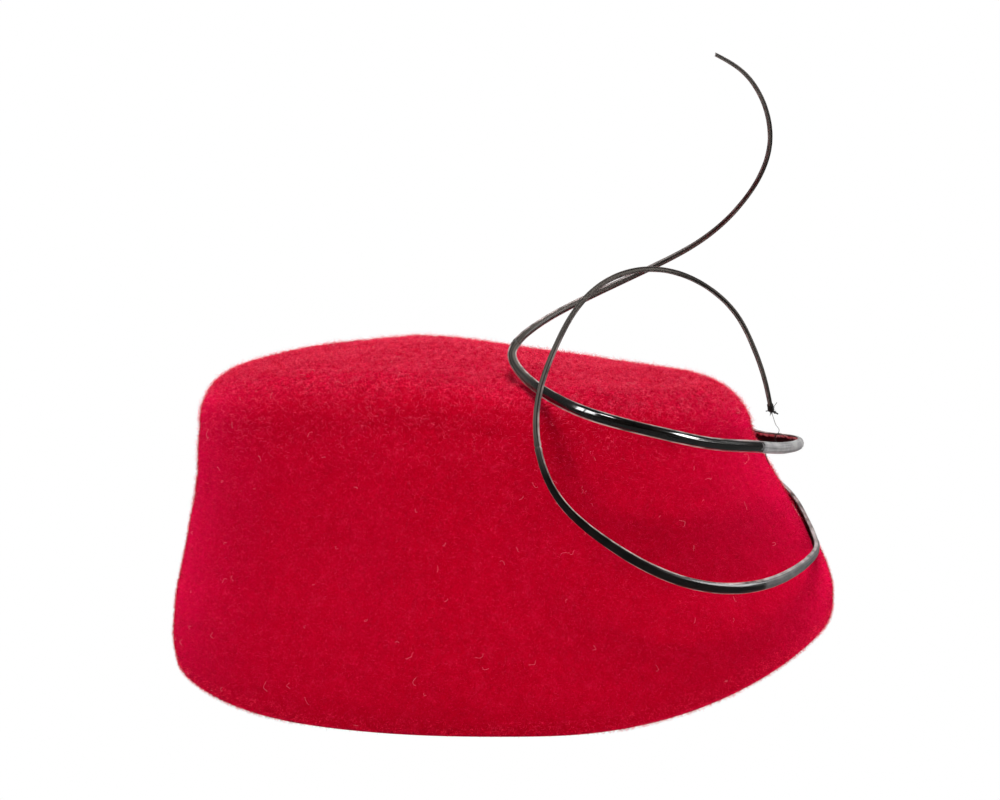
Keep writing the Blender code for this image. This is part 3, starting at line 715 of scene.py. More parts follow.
def mottled(name, roughness, metallic, noise, stops, bump, **values):
    """A material in two shades that follow a fine noise, with the same noise as its relief."""
    made = finish(name, roughness, metallic, **values)
    grain = made.noise(made.coords(), *noise)
    made.set(Base_Color=made.ramp(grain, *stops))
    made.bump(grain, *bump)
    return made.owner


def cloth_material(name, dark, light, scale, roughness=0.75, sheen=0.25, strength=0.5):
    """Thread or woven stuff, with a slight sheen."""
    look = {"Sheen_Weight": sheen, "Specular_IOR_Level": 0.25}
    stops = (0.35, dark), (0.68, light)
    return mottled(name, roughness, 0.0, (scale, 4, 0.65), stops, (strength, 0.0002), **look)


STEEL_SHADES = (0.35, (0.42, 0.42, 0.43)), (0.65, (0.66, 0.66, 0.67))
COMB_SHADES = (0.38, (0.008, 0.007, 0.007)), (0.66, (0.022, 0.019, 0.018))
MATERIALS = {
    "felt": felt_material(),
    "lacquer": lacquer_material(),
    "pith": pith_material(),
    "quill_edge": cloth_material("quill_edge", (0.006, 0.005, 0.004), (0.06, 0.05, 0.046), 620, 0.6, 0.0),
    "thread": cloth_material("black_thread", (0.005, 0.004, 0.004), (0.024, 0.019, 0.019), 2600, 0.8, 0.04),
    "ribbon": cloth_material("petersham", (0.17, 0.002, 0.010), (0.30, 0.006, 0.024), 1900, 0.6, 0.4),
    "red_thread": cloth_material("red_thread", (0.24, 0.002, 0.012), (0.42, 0.006, 0.030), 2600),
    "elastic": cloth_material("elastic_braid", (0.010, 0.009, 0.009), (0.045, 0.040, 0.040), 2200, 0.7),
    "label": cloth_material("label_satin", (0.62, 0.60, 0.57), (0.86, 0.85, 0.82), 1500, 0.42, 0.3, 0.3),
    "steel": mottled("drawn_steel", 0.32, 1.0, (900, 4, 0.7), STEEL_SHADES, (0.2, 0.00005)),
    "comb": mottled("comb_plastic", 0.22, 0.0, (240, 3, 0.5), COMB_SHADES, (0.12, 0.0002)),
}


# ---------- felt ----------

def fluffiness(points):
    """0 on the smooth wall and 1 on the crown, where the felt's fibres are raised and its colour carries
    painted top light.
    """
    return np.clip((points[..., 2] - crown_height(points[..., 0]) + FLUFF_DROP) / FLUFF_BLEND, 0, 1)


def build_felt(points):
    rows, columns = points.shape[:2]
    faces = grid_faces(rows, columns)
    apex = rows * columns
    last = apex - columns
    faces += [[last + i, last + (i + 1) % columns, apex] for i in range(columns)]
    all_points = np.vstack([points.reshape(-1, 3), points[-1].mean(0)])
    felt = make_object("felt_body", all_points, faces)
    # This attribute also places the crown's painted top light in the felt material.
    crown_fluff_and_light = felt.data.attributes.new("fluffiness", "FLOAT", "POINT")
    crown_fluff_and_light.data.foreach_set("value", fluffiness(all_points).astype(np.float32))
    thicken(felt, FELT_THICKNESS, -1, even=True)
    put_on(felt, "felt", "hat", "felt", "felt_shell")


def surface_samples(points, normals, count, rng):
    """Random (places, normals) spread evenly over the outer felt, above the hem's turned-in part."""
    start = RETURN_ROWS + FOLD_ROWS // 2 - 1
    p, n = points[start:], normals[start:]
    corner = p[:-1]
    area = np.linalg.norm(np.cross(np.roll(p, -1, 1)[:-1] - corner, p[1:] - corner), axis=-1)
    pick = rng.choice(area.size, count, p=(area / area.sum()).ravel())
    r, c = np.unravel_index(pick, area.shape)
    after = (c + 1) % p.shape[1]
    u, v = rng.random((2, count, 1))

    def spread(grid):
        low = grid[r, c] * (1 - u) + grid[r, after] * u
        high = grid[r + 1, c] * (1 - u) + grid[r + 1, after] * u
        return low * (1 - v) + high * v

    return spread(p), unit(spread(n))


def random_across(vectors, rng):
    """Unit vectors at right angles to these, in random directions."""
    return unit(np.cross(vectors, rng.normal(size=vectors.shape)))


def build_nap(points, normals):
    """Short brushed fibres over the whole outside. Each is a closed three-sided spike. The palest piece is
    partly painted sheen along the outline.
    """
    spike = [[2, 1, 0], [0, 1, 3], [1, 2, 3], [2, 0, 3]]
    shades = (FELT_DEEP, FELT_RED, FELT_RED, FELT_BRIGHT, NAP_LIGHT, NAP_PALE_AND_SHEEN)
    for piece in range(NAP_PIECES):
        rng = np.random.default_rng(100 + piece)
        root, out = surface_samples(points, normals, NAP_FIBRES, rng)
        length = rng.uniform(*NAP_LENGTHS, (NAP_FIBRES, 1))
        rise = rng.uniform(0.25, 1.0, (NAP_FIBRES, 1))
        heading = unit(out * rise + random_across(out, rng) * (1.15 - 0.6 * rise))
        tip = root + heading * length
        side = random_across(heading, rng)
        other = np.cross(heading, side)
        width = rng.uniform(*NAP_WIDTHS, (NAP_FIBRES, 1))
        turns = round_angles(3)
        foot = [root - out * ROOT_DEPTH + (side * math.cos(t) + other * math.sin(t)) * width for t in turns]
        corners = np.stack([*foot, tip], 1)[tip[:, 2] > 0.0002]
        nap = make_copies(f"felt_nap_{piece + 1}", corners, spike)
        put_on(nap, fibre_material(f"nap_{piece + 1}", shades[piece]), "hat", "felt")


def clumped(count, clump, rng, points, normals):
    """Random (places, normals) in small clumps, and a heading along the felt for each clump."""
    centres, outs = surface_samples(points, normals, count // clump + 1, rng)
    ways = random_across(outs, rng)
    member = np.repeat(np.arange(len(centres)), clump)[:count]
    ways, outs = ways[member], outs[member]
    scatter = rng.normal(0, CLUMP_SPREAD, (count, 2))
    places = centres[member] + ways * scatter[:, :1] + np.cross(outs, ways) * scatter[:, 1:]
    return places, outs, unit(ways + 0.45 * random_across(outs, rng))


def bent_fibres(name, root, middle, tip, flat, out, radius, shade, glow=0.0):
    """One object of fibres with one bend, each a closed three-sided strip that narrows to its tip."""
    pattern = [[2, 1, 0], [0, 1, 4, 3], [1, 2, 5, 4], [2, 0, 3, 5]]
    pattern += [[3, 4, 7, 6], [4, 5, 8, 7], [5, 3, 6, 8], [6, 7, 8]]
    corners = []
    for centre, size in ((root - out * ROOT_DEPTH, 0.9), (middle, 1.0), (tip, 0.5)):
        for k in range(3):
            corners.append(centre + bend_free(flat, out, TURN * k / 3) * radius * size)
    fibres = make_copies(name, np.stack(corners, 1), pattern)
    put_on(fibres, fibre_material(name, shade, glow), "hat", "felt")


def build_curls(points, normals):
    """Matted fibres in clumps, bent over: thick on the crown and thin down the wall. Their pale shades are
    partly painted top light.
    """
    for piece in range(CURL_PIECES):
        rng = np.random.default_rng(200 + piece)
        root, out, flat = clumped(CURL_FIBRES * 3, CURL_CLUMP, rng, points, normals)
        keep = rng.random(len(root)) < STRAY_SHARE + (1 - STRAY_SHARE) * fluffiness(root) ** 1.5
        root, out, flat = (v[keep][:CURL_FIBRES] for v in (root, out, flat))
        length = rng.uniform(*CURL_LENGTHS, (len(root), 1))
        bend = np.cross(out, flat) * rng.uniform(-1, 1, (len(root), 1))
        middle = root + unit(flat + out * 0.8) * length * 0.5
        tip = middle + unit(flat * 0.6 + bend - out * 0.15) * length * 0.5
        name, shade = f"felt_curls_{piece + 1}", CURL_SHADES_AND_TOP_LIGHT[piece]
        bent_fibres(name, root, middle, tip, flat, out, CURL_RADIUS, shade)


def build_halo(points, normals):
    """Sparse longer hairs that stand off the felt and soften its outline. The last piece is the hem's. Their
    pale shades are painted backlight.
    """
    for piece in range(HALO_PIECES):
        rng = np.random.default_rng(300 + piece)
        hem = piece == HALO_PIECES - 1
        root, out = surface_samples(points, normals, HALO_FIBRES * (10 if hem else 3), rng)
        low = root[:, 2] - rim_height(np.arctan2(root[:, 1], root[:, 0]))
        if hem:
            chance = low < HEM_FUZZ
        elif piece:
            chance = low > HEM_FUZZ
        else:
            chance = STRAY_SHARE + (1 - STRAY_SHARE) * np.clip((root[:, 2] - 0.085) / 0.02, 0, 1)
        keep = rng.random(len(root)) < chance
        most = HALO_FIBRES // 2 if hem else HALO_FIBRES
        root, out = root[keep][:most], out[keep][:most]
        flat = random_across(out, rng)
        length = rng.uniform(*HALO_LENGTHS, (len(root), 1))
        length *= 0.6 + 0.4 * np.clip((root[:, 2:] - 0.05) / 0.05, 0, 1)
        middle = root + unit(flat * 0.7 + out) * length * 0.5
        bend = random_across(out, rng)
        drift = flat * 0.5 + bend * 0.8 + out * rng.uniform(-0.3, 0.8, (len(root), 1))
        tip = middle + unit(drift) * length * 0.5
        floor_clear = tip[:, 2] > 0.0004
        kept = (v[floor_clear] for v in (root, middle, tip, flat, out))
        name, glow = f"felt_halo_{piece + 1}", HEM_GLOW if hem else FIBRE_GLOW
        bent_fibres(name, *kept, HALO_RADIUS, HALO_SHADES_AND_BACKLIGHT[piece], glow)


def bend_free(flat, out, turn):
    """A direction round a fibre that lies along flat."""
    return np.cross(flat, out) * math.cos(turn) + out * math.sin(turn)


def build_loose_fibres(points, normals):
    """Longer pale hairs that lie curled on the felt."""
    rng = np.random.default_rng(41)
    root, out = surface_samples(points, normals, LOOSE_FIBRES, rng)
    paths = []
    for place, up in zip(root, out):
        side = unit(np.cross(up, rng.normal(size=3)))
        other = np.cross(up, side)
        wander = np.cumsum(rng.normal(0, 0.42, LOOSE_STEPS))
        bend = wander + np.linspace(0, rng.normal(0, 2.2), LOOSE_STEPS)
        stride = rng.uniform(0.0009, 0.0044) / LOOSE_STEPS
        along = np.cumsum(np.cos(bend)) * stride
        across = np.cumsum(np.sin(bend)) * stride
        lift = 0.0005 + 0.0008 * np.sin(np.linspace(0, math.pi, LOOSE_STEPS)) * rng.random()
        paths.append(place + side * along[:, None] + other * across[:, None] + up * lift[:, None])
    hairs = threads("loose_fibres", paths, LOOSE_RADIUS, 4)
    put_on(hairs, fibre_material("loose_fibre", FELT_PALE), "hat", "felt")


# ---------- ribbon, hem and rim wire ----------

def build_ribbon():
    """The petersham ribbon: a closed strip with cross ribs on its inner face and scalloped edges."""
    columns = RIBS * 4
    angle = round_angles(columns)
    rib = np.cos(angle * RIBS)
    rows = []
    for share in np.linspace(0, 1, 12):
        height = BAND_LOW + (BAND_HIGH - BAND_LOW) * share
        scallop = 0.00022 * rib * (1 if share == 1 else -1 if share == 0 else 0)
        edge = 0.3 if share in (0, 1) else 1.0
        rows.append(off_wall(angle, height + scallop, -(BAND_FACE + 0.00010 * rib * edge - 0.0001)))
    for share in (1, 0.66, 0.33, 0):
        height = BAND_LOW + (BAND_HIGH - BAND_LOW) * share
        rows.append(off_wall(angle, height + 0 * angle, -(BAND_FACE - BAND_THICKNESS)))
    rows = rows[::-1]
    ribbon = make_object("ribbon", np.array(rows), grid_faces(len(rows), columns, True))
    put_on(ribbon, "ribbon", "hat", "ribbon", "sweatband")


def build_running_stitches():
    """Small hand stitches that hold the ribbon along its top edge."""
    rng = np.random.default_rng(51)
    paths = []
    for i in range(RUNNING_STITCHES):
        start = TURN * (i + rng.uniform(-0.08, 0.08)) / RUNNING_STITCHES
        angle = start + np.linspace(0, RUNNING_LENGTH, 7)
        height = BAND_HIGH - 0.0016 + rng.uniform(-0.0002, 0.0002)
        height = height + np.linspace(0, rng.uniform(-4, 4) * 1e-4, 7)
        rise = np.array([-0.0004, 0.0001, 0.0002, 0.00022, 0.0002, 0.0001, -0.0004])
        paths.append(off_wall(angle, height, -(BAND_FACE + rise)))
    sew("ribbon_stitches", paths, RUNNING_RADIUS, "red_thread", "hat")


def build_hem_stitches():
    """Slanted stitches over the hem's raw edge, all round the rim."""
    rng = np.random.default_rng(52)
    paths = []
    inset = 2 * FOLD_RADIUS
    for i in range(HEM_STITCHES):
        a = TURN * (i + rng.uniform(-0.1, 0.1)) / HEM_STITCHES
        high = rim_height(a + 0.03) + HEM_RETURN
        paths.append(spline([
            fold(a, inset - 0.0006, -HEM_RETURN + 0.0026),
            fold(a, inset + 0.0002, -HEM_RETURN + 0.0024),
            fold(a + 0.006, inset + 0.0002, -HEM_RETURN + 0.0003),
            fold(a + 0.012, inset - 0.0008, -HEM_RETURN - 0.0006),
            off_wall(a + 0.022, high + 0.0018, -FELT_THICKNESS - 0.0005),
            off_wall(a + 0.030, high + 0.0034, -FELT_THICKNESS - 0.0002),
            off_wall(a + 0.031, high + 0.0037, -FELT_THICKNESS + 0.0005),
        ], 16))
    sew("hem_stitches", paths, STRAND_RADIUS, "red_thread", "hat")


def build_rim_wire():
    angles = np.pi + 0.004 + np.linspace(0, TURN - 0.008, 480)
    wire = threads("hem_wire", [fold(angles, FOLD_RADIUS, 0)], WIRE_RADIUS, 12)
    put_on(wire, "steel", "hat", "steel", "rim_wire")

    along = np.linspace(-0.5, 0.5, 41) * FERRULE_LENGTH
    crimp = 0.00016 * (np.exp(-((np.abs(along) - 0.0019) / 0.0004) ** 2))
    outer = FERRULE_BORE + FERRULE_WALL - crimp
    outer[[0, -1]] -= 0.00006
    inner = FERRULE_BORE - 0.5 * crimp
    profile = np.concatenate([outer, inner[::-1]]), np.concatenate([along, along[::-1]])
    rings, faces = lathe(*profile, 28)
    sleeve = make_object("wire_ferrule", rings + fold(np.array(math.pi), FOLD_RADIUS, 0), faces)
    put_on(sleeve, "steel", "hat", "steel", "rim_wire_ferrule")


# ---------- thread ----------

def staple_paths(centre, along, out, radius, leg, strands, seed):
    """Strands of a thread bridge over a rod: half a ring round centre, then legs down into the felt."""
    rng = np.random.default_rng(seed)
    side = unit(np.cross(along, out))
    turns = np.linspace(0, math.pi, 13)[:, None]
    paths = []
    for k in range(strands):
        shift = along * (k - (strands - 1) / 2) * STRAND_SPACING
        size = radius + rng.uniform(-0.0001, 0.0001)
        arc = shift - side * size * np.cos(turns) + out * size * np.sin(turns)
        pull = along * rng.uniform(-STRAND_DRIFT, STRAND_DRIFT)
        first, last = arc[0] - out * leg + pull, arc[-1] - out * leg - pull
        near = [arc[0] - out * leg * 0.5, arc[-1] - out * leg * 0.5]
        paths.append(spline(centre + np.vstack([first, near[0], arc, near[1], last]), 40))
    return paths


def along_path(places, distance):
    """(point, direction) at this length along a path."""
    lengths = np.concatenate([[0], np.cumsum(np.linalg.norm(np.diff(places, axis=0), axis=1))])
    point = np.array([np.interp(distance, lengths, places[:, k]) for k in range(3)])
    i = np.searchsorted(lengths, distance)
    return point, unit(places[i] - places[i - 1])


def build_quill_stitches(prefix, quill, places, radii):
    angle, height = math.radians(quill["base"][0][0]), quill["base"][0][1] * MM
    share = (height - rim_height(angle)) / (shoulder_height(angle) - rim_height(angle))
    out = wall_normal(np.array(angle), share)
    for i in range(2):
        centre, along = along_path(places, QUILL_STITCH_START + QUILL_STITCH_SPACING * i)
        leg = radii[0] + QUILL_LIFT + 0.0006
        paths = staple_paths(centre, along, out, radii[0] + STITCH_SLACK, leg, 4, 60 + i)
        sew(f"{prefix}_sewing_{i + 1}", paths, STRAND_RADIUS, "thread", "hat", f"{prefix}_stitch_{i + 1}")


def helix(centre, along, start, radius, turns, pitch, steps=22):
    """A thread's path wound round a rod."""
    side = unit(start - along * (start @ along))
    other = np.cross(along, side)
    at = np.linspace(0, turns, int(turns * steps) + 1)[:, None]
    return centre + (side * np.cos(TURN * at) + other * np.sin(TURN * at)) * radius + along * at * pitch


def frayed(centre, count, reach, rng, along):
    """Short curled thread ends that stick out of a knot."""
    paths = []
    for _ in range(count):
        way = unit(rng.normal(size=3) + along * 0.5)
        bend = unit(np.cross(way, rng.normal(size=3)))
        length = rng.uniform(0.5, 1.0) * reach
        at = np.linspace(0, 1, 8)[:, None]
        paths.append(centre + way * at * length + bend * (at * at) * length * rng.uniform(-0.5, 0.5))
    return paths


def build_tie(lower, upper):
    """Whipping and a frayed knot on the lower quill's tip, and the fine thread down to the upper quill."""
    places, radii = lower
    rng = np.random.default_rng(71)
    tip, along = places[-1], unit(places[-1] - places[-4])
    paths = [helix(tip - along * 0.0024, along, np.array([1.0, 0, 0]), radii[-1] + 0.00012, 7, 0.00027)]
    for _ in range(KNOT_LOOPS):
        middle = tip - along * rng.uniform(0.0001, 0.0008)
        lean = unit(along + rng.normal(0, 0.5, 3))
        paths.append(helix(middle, lean, rng.normal(size=3), 0.0009, 1.1, 0.0002))
    paths += frayed(tip, KNOT_ENDS, 0.0020, rng, along)
    paths += [np.linspace(tip, tip + np.array(v) * MM, 6) for v in KNOT_SPIKES]
    sizes = [0.00017] + [0.00024] * KNOT_LOOPS + [0.00008] * KNOT_ENDS + [*SPIKE_RADII]
    sew("tip_whipping", paths, sizes, "thread", "quills", "tip_knot")

    held, size = upper
    goal = np.array(TIE_POINTS[-1]) * MM
    i = int(np.argmin(np.linalg.norm(held - goal, axis=1)))
    way = unit(held[i + 1] - held[i])
    wraps = helix(held[i], way, np.array([0, -0.3, 1.0]), size[i] * 1.06 + 0.00012, 2.5, TIE_PITCH)
    lead = spline(np.vstack([tip + along * 0.0004, np.array(TIE_POINTS[:-1]) * MM, wraps[0]]), 50)
    hang = spline(np.array(LOOSE_END) * MM, 24)
    sizes = [TIE_RADIUS, TIE_RADIUS, LOOSE_END_RADIUS]
    sew("tie_thread", [lead, wraps, hang], sizes, "thread", "quills", "tip_thread")


# ---------- elastic ----------

def elastic_anchor():
    return off_wall(np.array(ELASTIC_ANCHOR_ANGLE), ELASTIC_HEIGHT, -(BAND_FACE + CORD_OFF_BAND))


def build_cord(anchor):
    """The braided cord round the back: crossing strands in relief."""
    reach = EYE_RADIUS + EYE_WIRE_RADIUS + BAND_GAP
    angles = np.linspace(ELASTIC_ANCHOR_ANGLE, TURN - ELASTIC_ANCHOR_ANGLE, 40)
    places = off_wall(angles, ELASTIC_HEIGHT, -(BAND_FACE + CORD_OFF_BAND) + 0 * angles)
    places[:, 2] = anchor[2]
    places = places[places[:, 0] < anchor[0] - reach]
    ends = [(anchor[0] - reach, s * anchor[1], anchor[2]) for s in (1, -1)]
    path = spline(np.vstack([ends[0], places, ends[1]]), CORD_RINGS)
    length = np.linalg.norm(np.diff(path, axis=0), axis=1).sum()
    turn = round_angles(CORD_SIDES)
    s = np.linspace(0, length, CORD_RINGS)[:, None] * TURN / BRAID_PITCH
    crossing = np.cos(5 * turn + s) * np.cos(5 * turn - s)
    section = circle(CORD_RADIUS, CORD_SIDES) * (0.95 + 0.06 * crossing)[..., None]
    cord = make_tubes("braided_cord", [(path, steady_outs(path), section)])
    put_on(cord, "elastic", "elastic", "elastic", "elastic_cord")

    loops = []
    for end, inner in ((path[0], path[6]), (path[-1], path[-7])):
        way = unit(inner - end)
        loops.append(helix(end + way * 0.0004, way, np.array([0, 0, 1.0]), CORD_RADIUS + 0.0001, 9, 0.0003))
        for k in range(4):
            loops.append(eye_loop(end, way, (k - 1.5) * 0.0003))
    sew("cord_whipping", loops, STRAND_RADIUS, "thread", "elastic")


def eye_loop(end, way, shift):
    """A loop of thread from the cord's end round the eye's wire."""
    turn = np.linspace(0, TURN, 25)[:, None]
    across = np.array([0, 1.0, 0])
    middle = end - way * 0.00025 + np.array([0, 0, shift])
    return middle + way * 0.00115 * np.cos(turn) + across * 0.00080 * np.sin(turn)


def build_eyes_and_knots(anchor):
    small = round_angles(18)
    profile = EYE_RADIUS + EYE_WIRE_RADIUS * np.cos(small), EYE_WIRE_RADIUS * np.sin(small)
    rings, faces = lathe(*profile, 72)
    for side, word in ((1, "right"), (-1, "left")):
        centre = anchor * (1, side, 1)
        eye = make_object(f"steel_eye_{word}", centre + rings, faces)
        put_on(eye, "steel", "elastic", "steel", f"elastic_eye_{word}")
        build_thread_knot(word, centre, side)


def build_thread_knot(word, centre, side):
    """A ball of wound thread inside the eye, on a short stalk from the ribbon."""
    rng = np.random.default_rng(80 + side)
    head = centre - np.array([0, side * 0.00160, 0])
    foot = centre + np.array([0, side * 0.0021, 0])
    loops = []
    for _ in range(BALL_LOOPS):
        axis = unit(rng.normal(size=3))
        loop = helix(np.zeros(3), axis, rng.normal(size=3), 1.0, 1.02, 0.0)
        loops.append(head + loop * np.array([0.00165, 0.00062, 0.00165]) * rng.uniform(0.82, 1.0))
    for turn in round_angles(STALK_STRANDS):
        lean = np.array([math.cos(turn), 0, math.sin(turn)]) * 0.00035
        loops.append(np.linspace(head + lean, foot + lean * 0.8, 8))
    sew(f"thread_ball_{word}", loops, BALL_THREAD_RADIUS, "thread", "hat", f"elastic_knot_{word}")


# ---------- comb and label ----------

def smooth_wall_at(angle, height):
    """The place on the felt's outer wall before any dents."""
    low = rim_height(angle)
    return wall(angle, (height - low) / (shoulder_height(angle) - low))


def comb_frame():
    """(spine centre, across, up the teeth, away from the wall) of the comb."""
    low = smooth_wall_at(np.array(0.0), COMB_HEIGHT)
    up = unit(smooth_wall_at(np.array(0.0), COMB_HEIGHT + TOOTH_LENGTH * COMB_LEAN_SHARE) - low)
    across = np.array([0, -1.0, 0])
    inward = np.cross(across, up)
    return low + inward * (BAND_FACE + COMB_OFF_BAND), across, up, inward


def rounded_section(width, thickness, power, sides):
    """A ring section between an ellipse and a rectangle."""
    ring = circle(1, sides)
    return np.sign(ring) * np.abs(ring) ** power * (thickness / 2, width / 2)


def build_comb():
    """A moulded comb: a rounded spine and tapered teeth with round tips. Three thread loops hold it."""
    centre, across, up, inward = comb_frame()
    half = (COMB_TEETH - 1) / 2 * TOOTH_PITCH + TOOTH_WIDTH
    at = np.linspace(-half, half, 41)[:, None, None]
    past = ((np.abs(at) - half) / COMB_END_RADIUS + 1).clip(0, 1)
    spine = rounded_section(SPINE_HEIGHT, COMB_THICKNESS, 0.6, 24) * np.sqrt(np.clip(1 - past**2, 0.02, 1))
    tubes = [(centre + across * at[:, 0], inward, spine)]
    share = np.linspace(0, 1, 40)[:, None]
    cap = np.sqrt(np.clip(1 - ((share - 0.975) / 0.0251).clip(0, 1) ** 2, 0.01, 1))
    width = (TOOTH_WIDTH + (TOOTH_TIP_WIDTH - TOOTH_WIDTH) * share) * cap
    depth = COMB_THICKNESS * (0.95 - 0.35 * share) * cap
    tooth = rounded_section(1, 1, 0.8, 16) * np.stack([depth, width], -1)
    for i in range(COMB_TEETH):
        root = centre + across * (i - (COMB_TEETH - 1) / 2) * TOOTH_PITCH
        tubes.append((root + up * (TOOTH_START + (TOOTH_LENGTH - TOOTH_START) * share), inward, tooth))
    put_on(make_tubes("moulded_comb", tubes), "comb", "comb", "comb", "comb")

    band_bow = SIDE_REACH[2] ** 2 / FRONT_REACH[2]
    for number, gap in enumerate(COMB_STITCH_GAPS, 1):
        y = gap * TOOTH_PITCH
        bulge = -dent_depth(centre + across * y - inward * (BAND_FACE + COMB_OFF_BAND))
        leg = COMB_OFF_BAND - y * y / (2 * band_bow) + bulge + 0.0004
        radius = COMB_LOOP_RADIUS - 0.0001
        paths = staple_paths(centre + across * y, across, inward, radius, leg, 3, 90 + number)
        sew(f"comb_sewing_{number}", paths, STRAND_RADIUS, "thread", "hat", f"comb_stitch_{number}")


def build_label():
    """A blank woven label that curls slightly at its free corners, and the stitches along its top."""
    off = -(BAND_FACE + LABEL_OFF_BAND)
    top = off_wall(np.array(math.pi), LABEL_TOP, off)
    up = unit(top - off_wall(np.array(math.pi), LABEL_TOP - LABEL_HEIGHT, off))
    across = np.array([0, -1.0, 0])
    inward = np.cross(across, up)
    x = np.linspace(-1, 1, 57)[None] * np.ones((27, 1))
    y = np.linspace(0, 1, 27)[:, None] * np.ones((1, 57))
    lift = 0.0013 * x**2 * y**2 + 0.00022 * np.sin(5 * x + 1) * y + 0.0003 * np.sin(2.2 * y)
    sheet = top + x[..., None] * across * LABEL_WIDTH / 2 - y[..., None] * up * LABEL_HEIGHT
    sheet = sheet + lift[..., None] * inward
    rows, columns = x.shape
    flat = np.arange(rows * columns).reshape(rows, columns)
    quads = np.stack([flat[:-1, :-1], flat[1:, :-1], flat[1:, 1:], flat[:-1, 1:]], -1).reshape(-1, 4)
    label = make_object("woven_label", sheet, quads.tolist())
    thicken(label, LABEL_THICKNESS, 0)
    put_on(label, "label", "label", "label", "care_label")

    rng = np.random.default_rng(95)
    paths = []
    for share in np.linspace(-0.9, 0.9, LABEL_STITCHES):
        side = top + across * share * LABEL_WIDTH / 2
        slant = across * rng.uniform(0.0002, 0.0007)
        paths.append(spline([
            side + inward * 0.0001 - up * 0.0013,
            side + inward * 0.0004 - up * 0.0008,
            side + inward * 0.0002 + up * 0.0004 + slant * 0.5,
            side - inward * 0.0012 + up * 0.0009 + slant,
            side - inward * 0.0030 + up * 0.0010 + slant,
        ], 20))
    sew("label_stitches", paths, LABEL_THREAD_RADIUS, "red_thread", "hat")


# ---------- quills ----------

def quill_section(radius, rows, cracks, rng):
    """Rings of a stripped spine: a round glossy back, thin raised edges and a hollow inner face."""
    back = np.linspace(-0.60 * math.pi, 0.60 * math.pi, BACK_FACETS)
    face = np.linspace(0.84, -0.84, FACE_FACETS)
    out = np.concatenate([0.86 * np.cos(back), -0.12 - 0.24 * (face / 0.84) ** 2])
    side = np.concatenate([1.06 * np.sin(back), face])
    ring = np.stack([out, side], -1)
    along = np.arange(rows)[:, None] * np.ones(len(ring))
    at = np.stack([along * 0.006, out * 3 + 0 * along, side * 3 + 0 * along], -1)
    wobble = 1 + 0.03 * ripple(at, 1.0, 8) + 0.010 * ripple(at * (9, 1, 1), 1.0, 9)
    size = radius.copy()
    for share in cracks:
        away = np.arange(rows) / rows - share
        kink = KINK_RISE * np.exp(-((away / KINK_SPAN) ** 2))
        size *= 1 + kink - CRACK_DEPTH * np.exp(-((away / CRACK_SPAN) ** 2))
    sections = ring[None] * size[:, None, None] * wobble[..., None]
    ragged = np.zeros(len(ring))
    ragged[[0, BACK_FACETS - 1]] = 1
    raggedness = np.convolve(rng.uniform(-0.10, 0.14, rows), np.ones(13) / 13, "same")
    sections[..., 1] *= 1 + ragged * raggedness[:, None]
    return sections


def quill_centre(quill):
    """(places, radii, directions of the glossy back) along the quill, from its cut end to its tip."""
    radii = np.array(quill["radii"]) * MM
    base = [off_wall(math.radians(a), h * MM, radii[0] + QUILL_LIFT) for a, h in quill["base"]]
    corners = np.vstack([base, np.array(quill["stations"]) * MM])
    places, size = spline(corners, QUILL_RINGS, np.concatenate([[radii[0]] * len(base), radii]))
    shares = [share for share, _ in quill["facing"]]
    ways = np.array([way for _, way in quill["facing"]])
    at = np.linspace(0, 1, QUILL_RINGS)
    return places, size, unit(np.stack([np.interp(at, shares, ways[:, k]) for k in range(3)], -1))


def build_quill(name, node_name, quill):
    places, radii, outs = quill_centre(quill)
    rng = np.random.default_rng(len(name))
    sections = quill_section(radii, QUILL_RINGS, quill["cracks"], rng)
    spine = make_tubes(name, [(places, outs, sections)])
    put_on(spine, ("lacquer", "pith", "quill_edge"), "quills", "quill", node_name)
    count = sections.shape[1]
    corner = np.array([v.vertex_index for v in spine.data.loops])
    share, column = corner // count / QUILL_RINGS, corner % count
    face_at = 1 + (column - BACK_FACETS + 1) / (FACE_FACETS + 1)
    across = np.where(column < BACK_FACETS, column / (BACK_FACETS - 1), face_at)
    thin = np.clip((share - quill["thin_from"]) / THINNING, 0, 1)
    for layer_name, u, v in (("along", share, across), ("wear", thin, quill["worn"] + 0 * share)):
        layer = spine.data.uv_layers.new(name=layer_name)
        layer.data.foreach_set("uv", np.stack([u, v], -1).astype(np.float32).ravel())
    for face in spine.data.polygons:
        place = face.index % count
        inner = BACK_FACETS <= place < count - 1
        rim = place in (BACK_FACETS - 1, count - 1)
        face.material_index = 2 if rim else int(inner)
    spine.data.set_sharp_from_angle(angle=math.radians(48))
    return places, radii


# ---------- studio ----------

def build_studio():
    bpy.ops.mesh.primitive_plane_add(size=60, location=(0, 0, -0.0004))
    floor = bpy.context.object
    floor.name = "studio_floor"
    floor.data.materials.append(floor_material())
    build_world()
    for name, place, width, height, power, unseen_by in LIGHTS:
        data = bpy.data.lights.new(name, "AREA")
        data.shape = "RECTANGLE"
        data.size, data.size_y, data.energy = width, height, power
        light = aimed(name, data, place, LIGHT_GOAL)
        light.visible_glossy = unseen_by != "glossy"
        light.visible_diffuse = unseen_by != "diffuse"


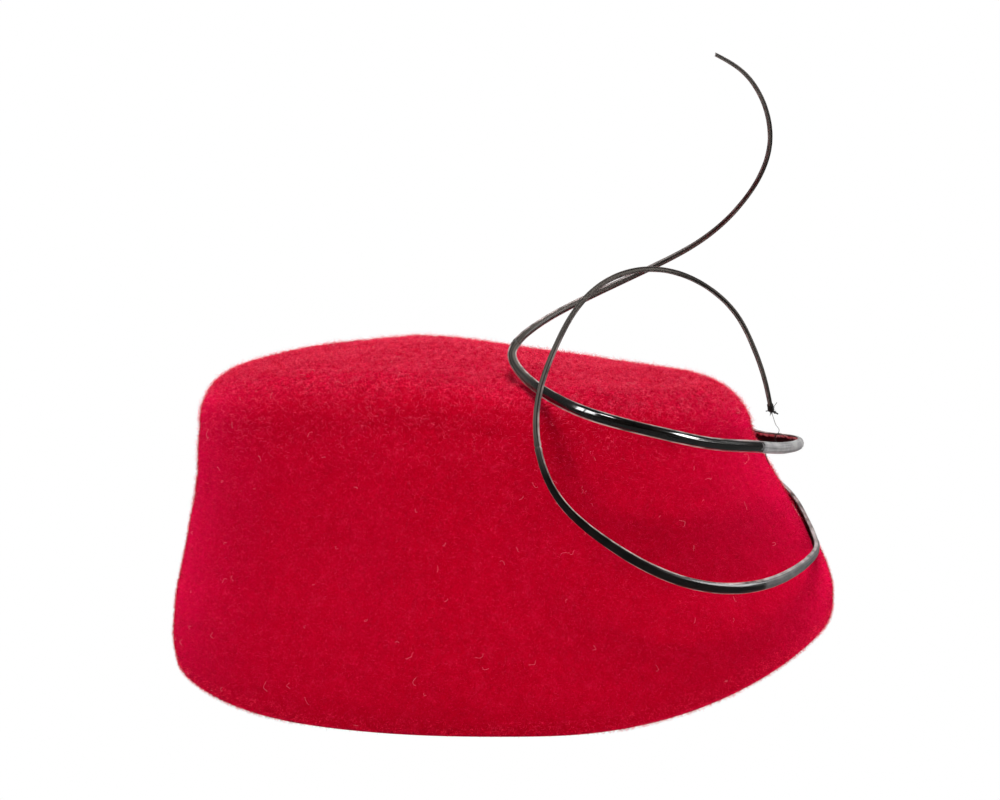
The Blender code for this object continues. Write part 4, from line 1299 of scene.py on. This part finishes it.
def floor_material():
    """Pale matt paper that the camera sees as plain white. From below it isn't there."""
    paper = finish("studio_floor", 0.9, Base_Color=(0.92, 0.92, 0.92), Specular_IOR_Level=0.0)
    paper.set(Emission_Color=(1.0, 1.0, 1.0), Emission_Strength=TABLE_GLOW)
    ray = paper.node("LightPath").outputs
    below = paper.node("NewGeometry").outputs["Backfacing"]
    dim = paper.node("BsdfDiffuse", Color=(0.10, 0.10, 0.10))
    white = paper.node("Emission", Strength=FLOOR_WHITE)
    clear = paper.node("BsdfTransparent")
    surface = paper.main.outputs[0]
    for switch, other in ((ray["Is Glossy Ray"], dim), (ray["Is Camera Ray"], white), (below, clear)):
        mixed = paper.node("MixShader")
        for socket, value in zip(mixed.inputs, (switch, surface, other.outputs[0])):
            paper.feed(socket, value)
        surface = mixed.outputs[0]
    paper.feed(paper.tree.nodes["Material Output"].inputs["Surface"], surface)
    return paper.owner


def build_world():
    """White to the camera. As light, a white backdrop behind the hat and a dim room in front of it."""
    world = Nodes(bpy.data.worlds.new("studio"), "Background")
    bpy.context.scene.world = world.owner
    depth = world.split(world.node("TexCoord").outputs["Generated"])["Y"]
    lit = world.span(depth, -0.6, 0.5, ROOM_LIGHT, BACKDROP_LIGHT)
    seen = world.node("LightPath").outputs["Is Camera Ray"]
    strength = world.node("Mix")
    for index, value in ((0, seen), (2, lit), (3, FLOOR_WHITE)):
        world.feed(strength.inputs[index], value)
    world.set(Color=(1.0, 1.0, 1.0), Strength=strength.outputs[0])


def aimed(name, data, place, goal):
    """A new light or camera at a place, turned to the goal."""
    obj = new_object(name, data)
    obj.location = place
    obj.rotation_euler = (Vector(goal) - Vector(place)).to_track_quat("-Z", "Y").to_euler()
    return obj


def build_camera():
    data = bpy.data.cameras.new("camera")
    data.lens, data.sensor_width = LENS, SENSOR_WIDTH
    place, goal = (HAT_PLACE + Vector(v) for v in (CAMERA_PLACE, CAMERA_GOAL))
    bpy.context.scene.camera = aimed("camera", data, place, goal)


def set_view():
    settings = bpy.context.scene.view_settings
    settings.view_transform = "Standard"
    settings.look = "None"


felt_points, felt_normals = felt_grid()
build_felt(felt_points)
build_nap(felt_points, felt_normals)
build_curls(felt_points, felt_normals)
build_halo(felt_points, felt_normals)
build_loose_fibres(felt_points, felt_normals)
build_ribbon()
build_running_stitches()
build_hem_stitches()
build_rim_wire()
upper_path = build_quill("upper_quill_spine", "upper_quill", UPPER_QUILL)
lower_path = build_quill("lower_quill_spine", "lower_quill", LOWER_QUILL)
build_quill_stitches("upper_quill", UPPER_QUILL, *upper_path)
build_quill_stitches("lower_quill", LOWER_QUILL, *lower_path)
build_tie(lower_path, upper_path)
elastic_end = elastic_anchor()
build_cord(elastic_end)
build_eyes_and_knots(elastic_end)
build_comb()
build_label()
build_studio()
build_camera()
set_view()
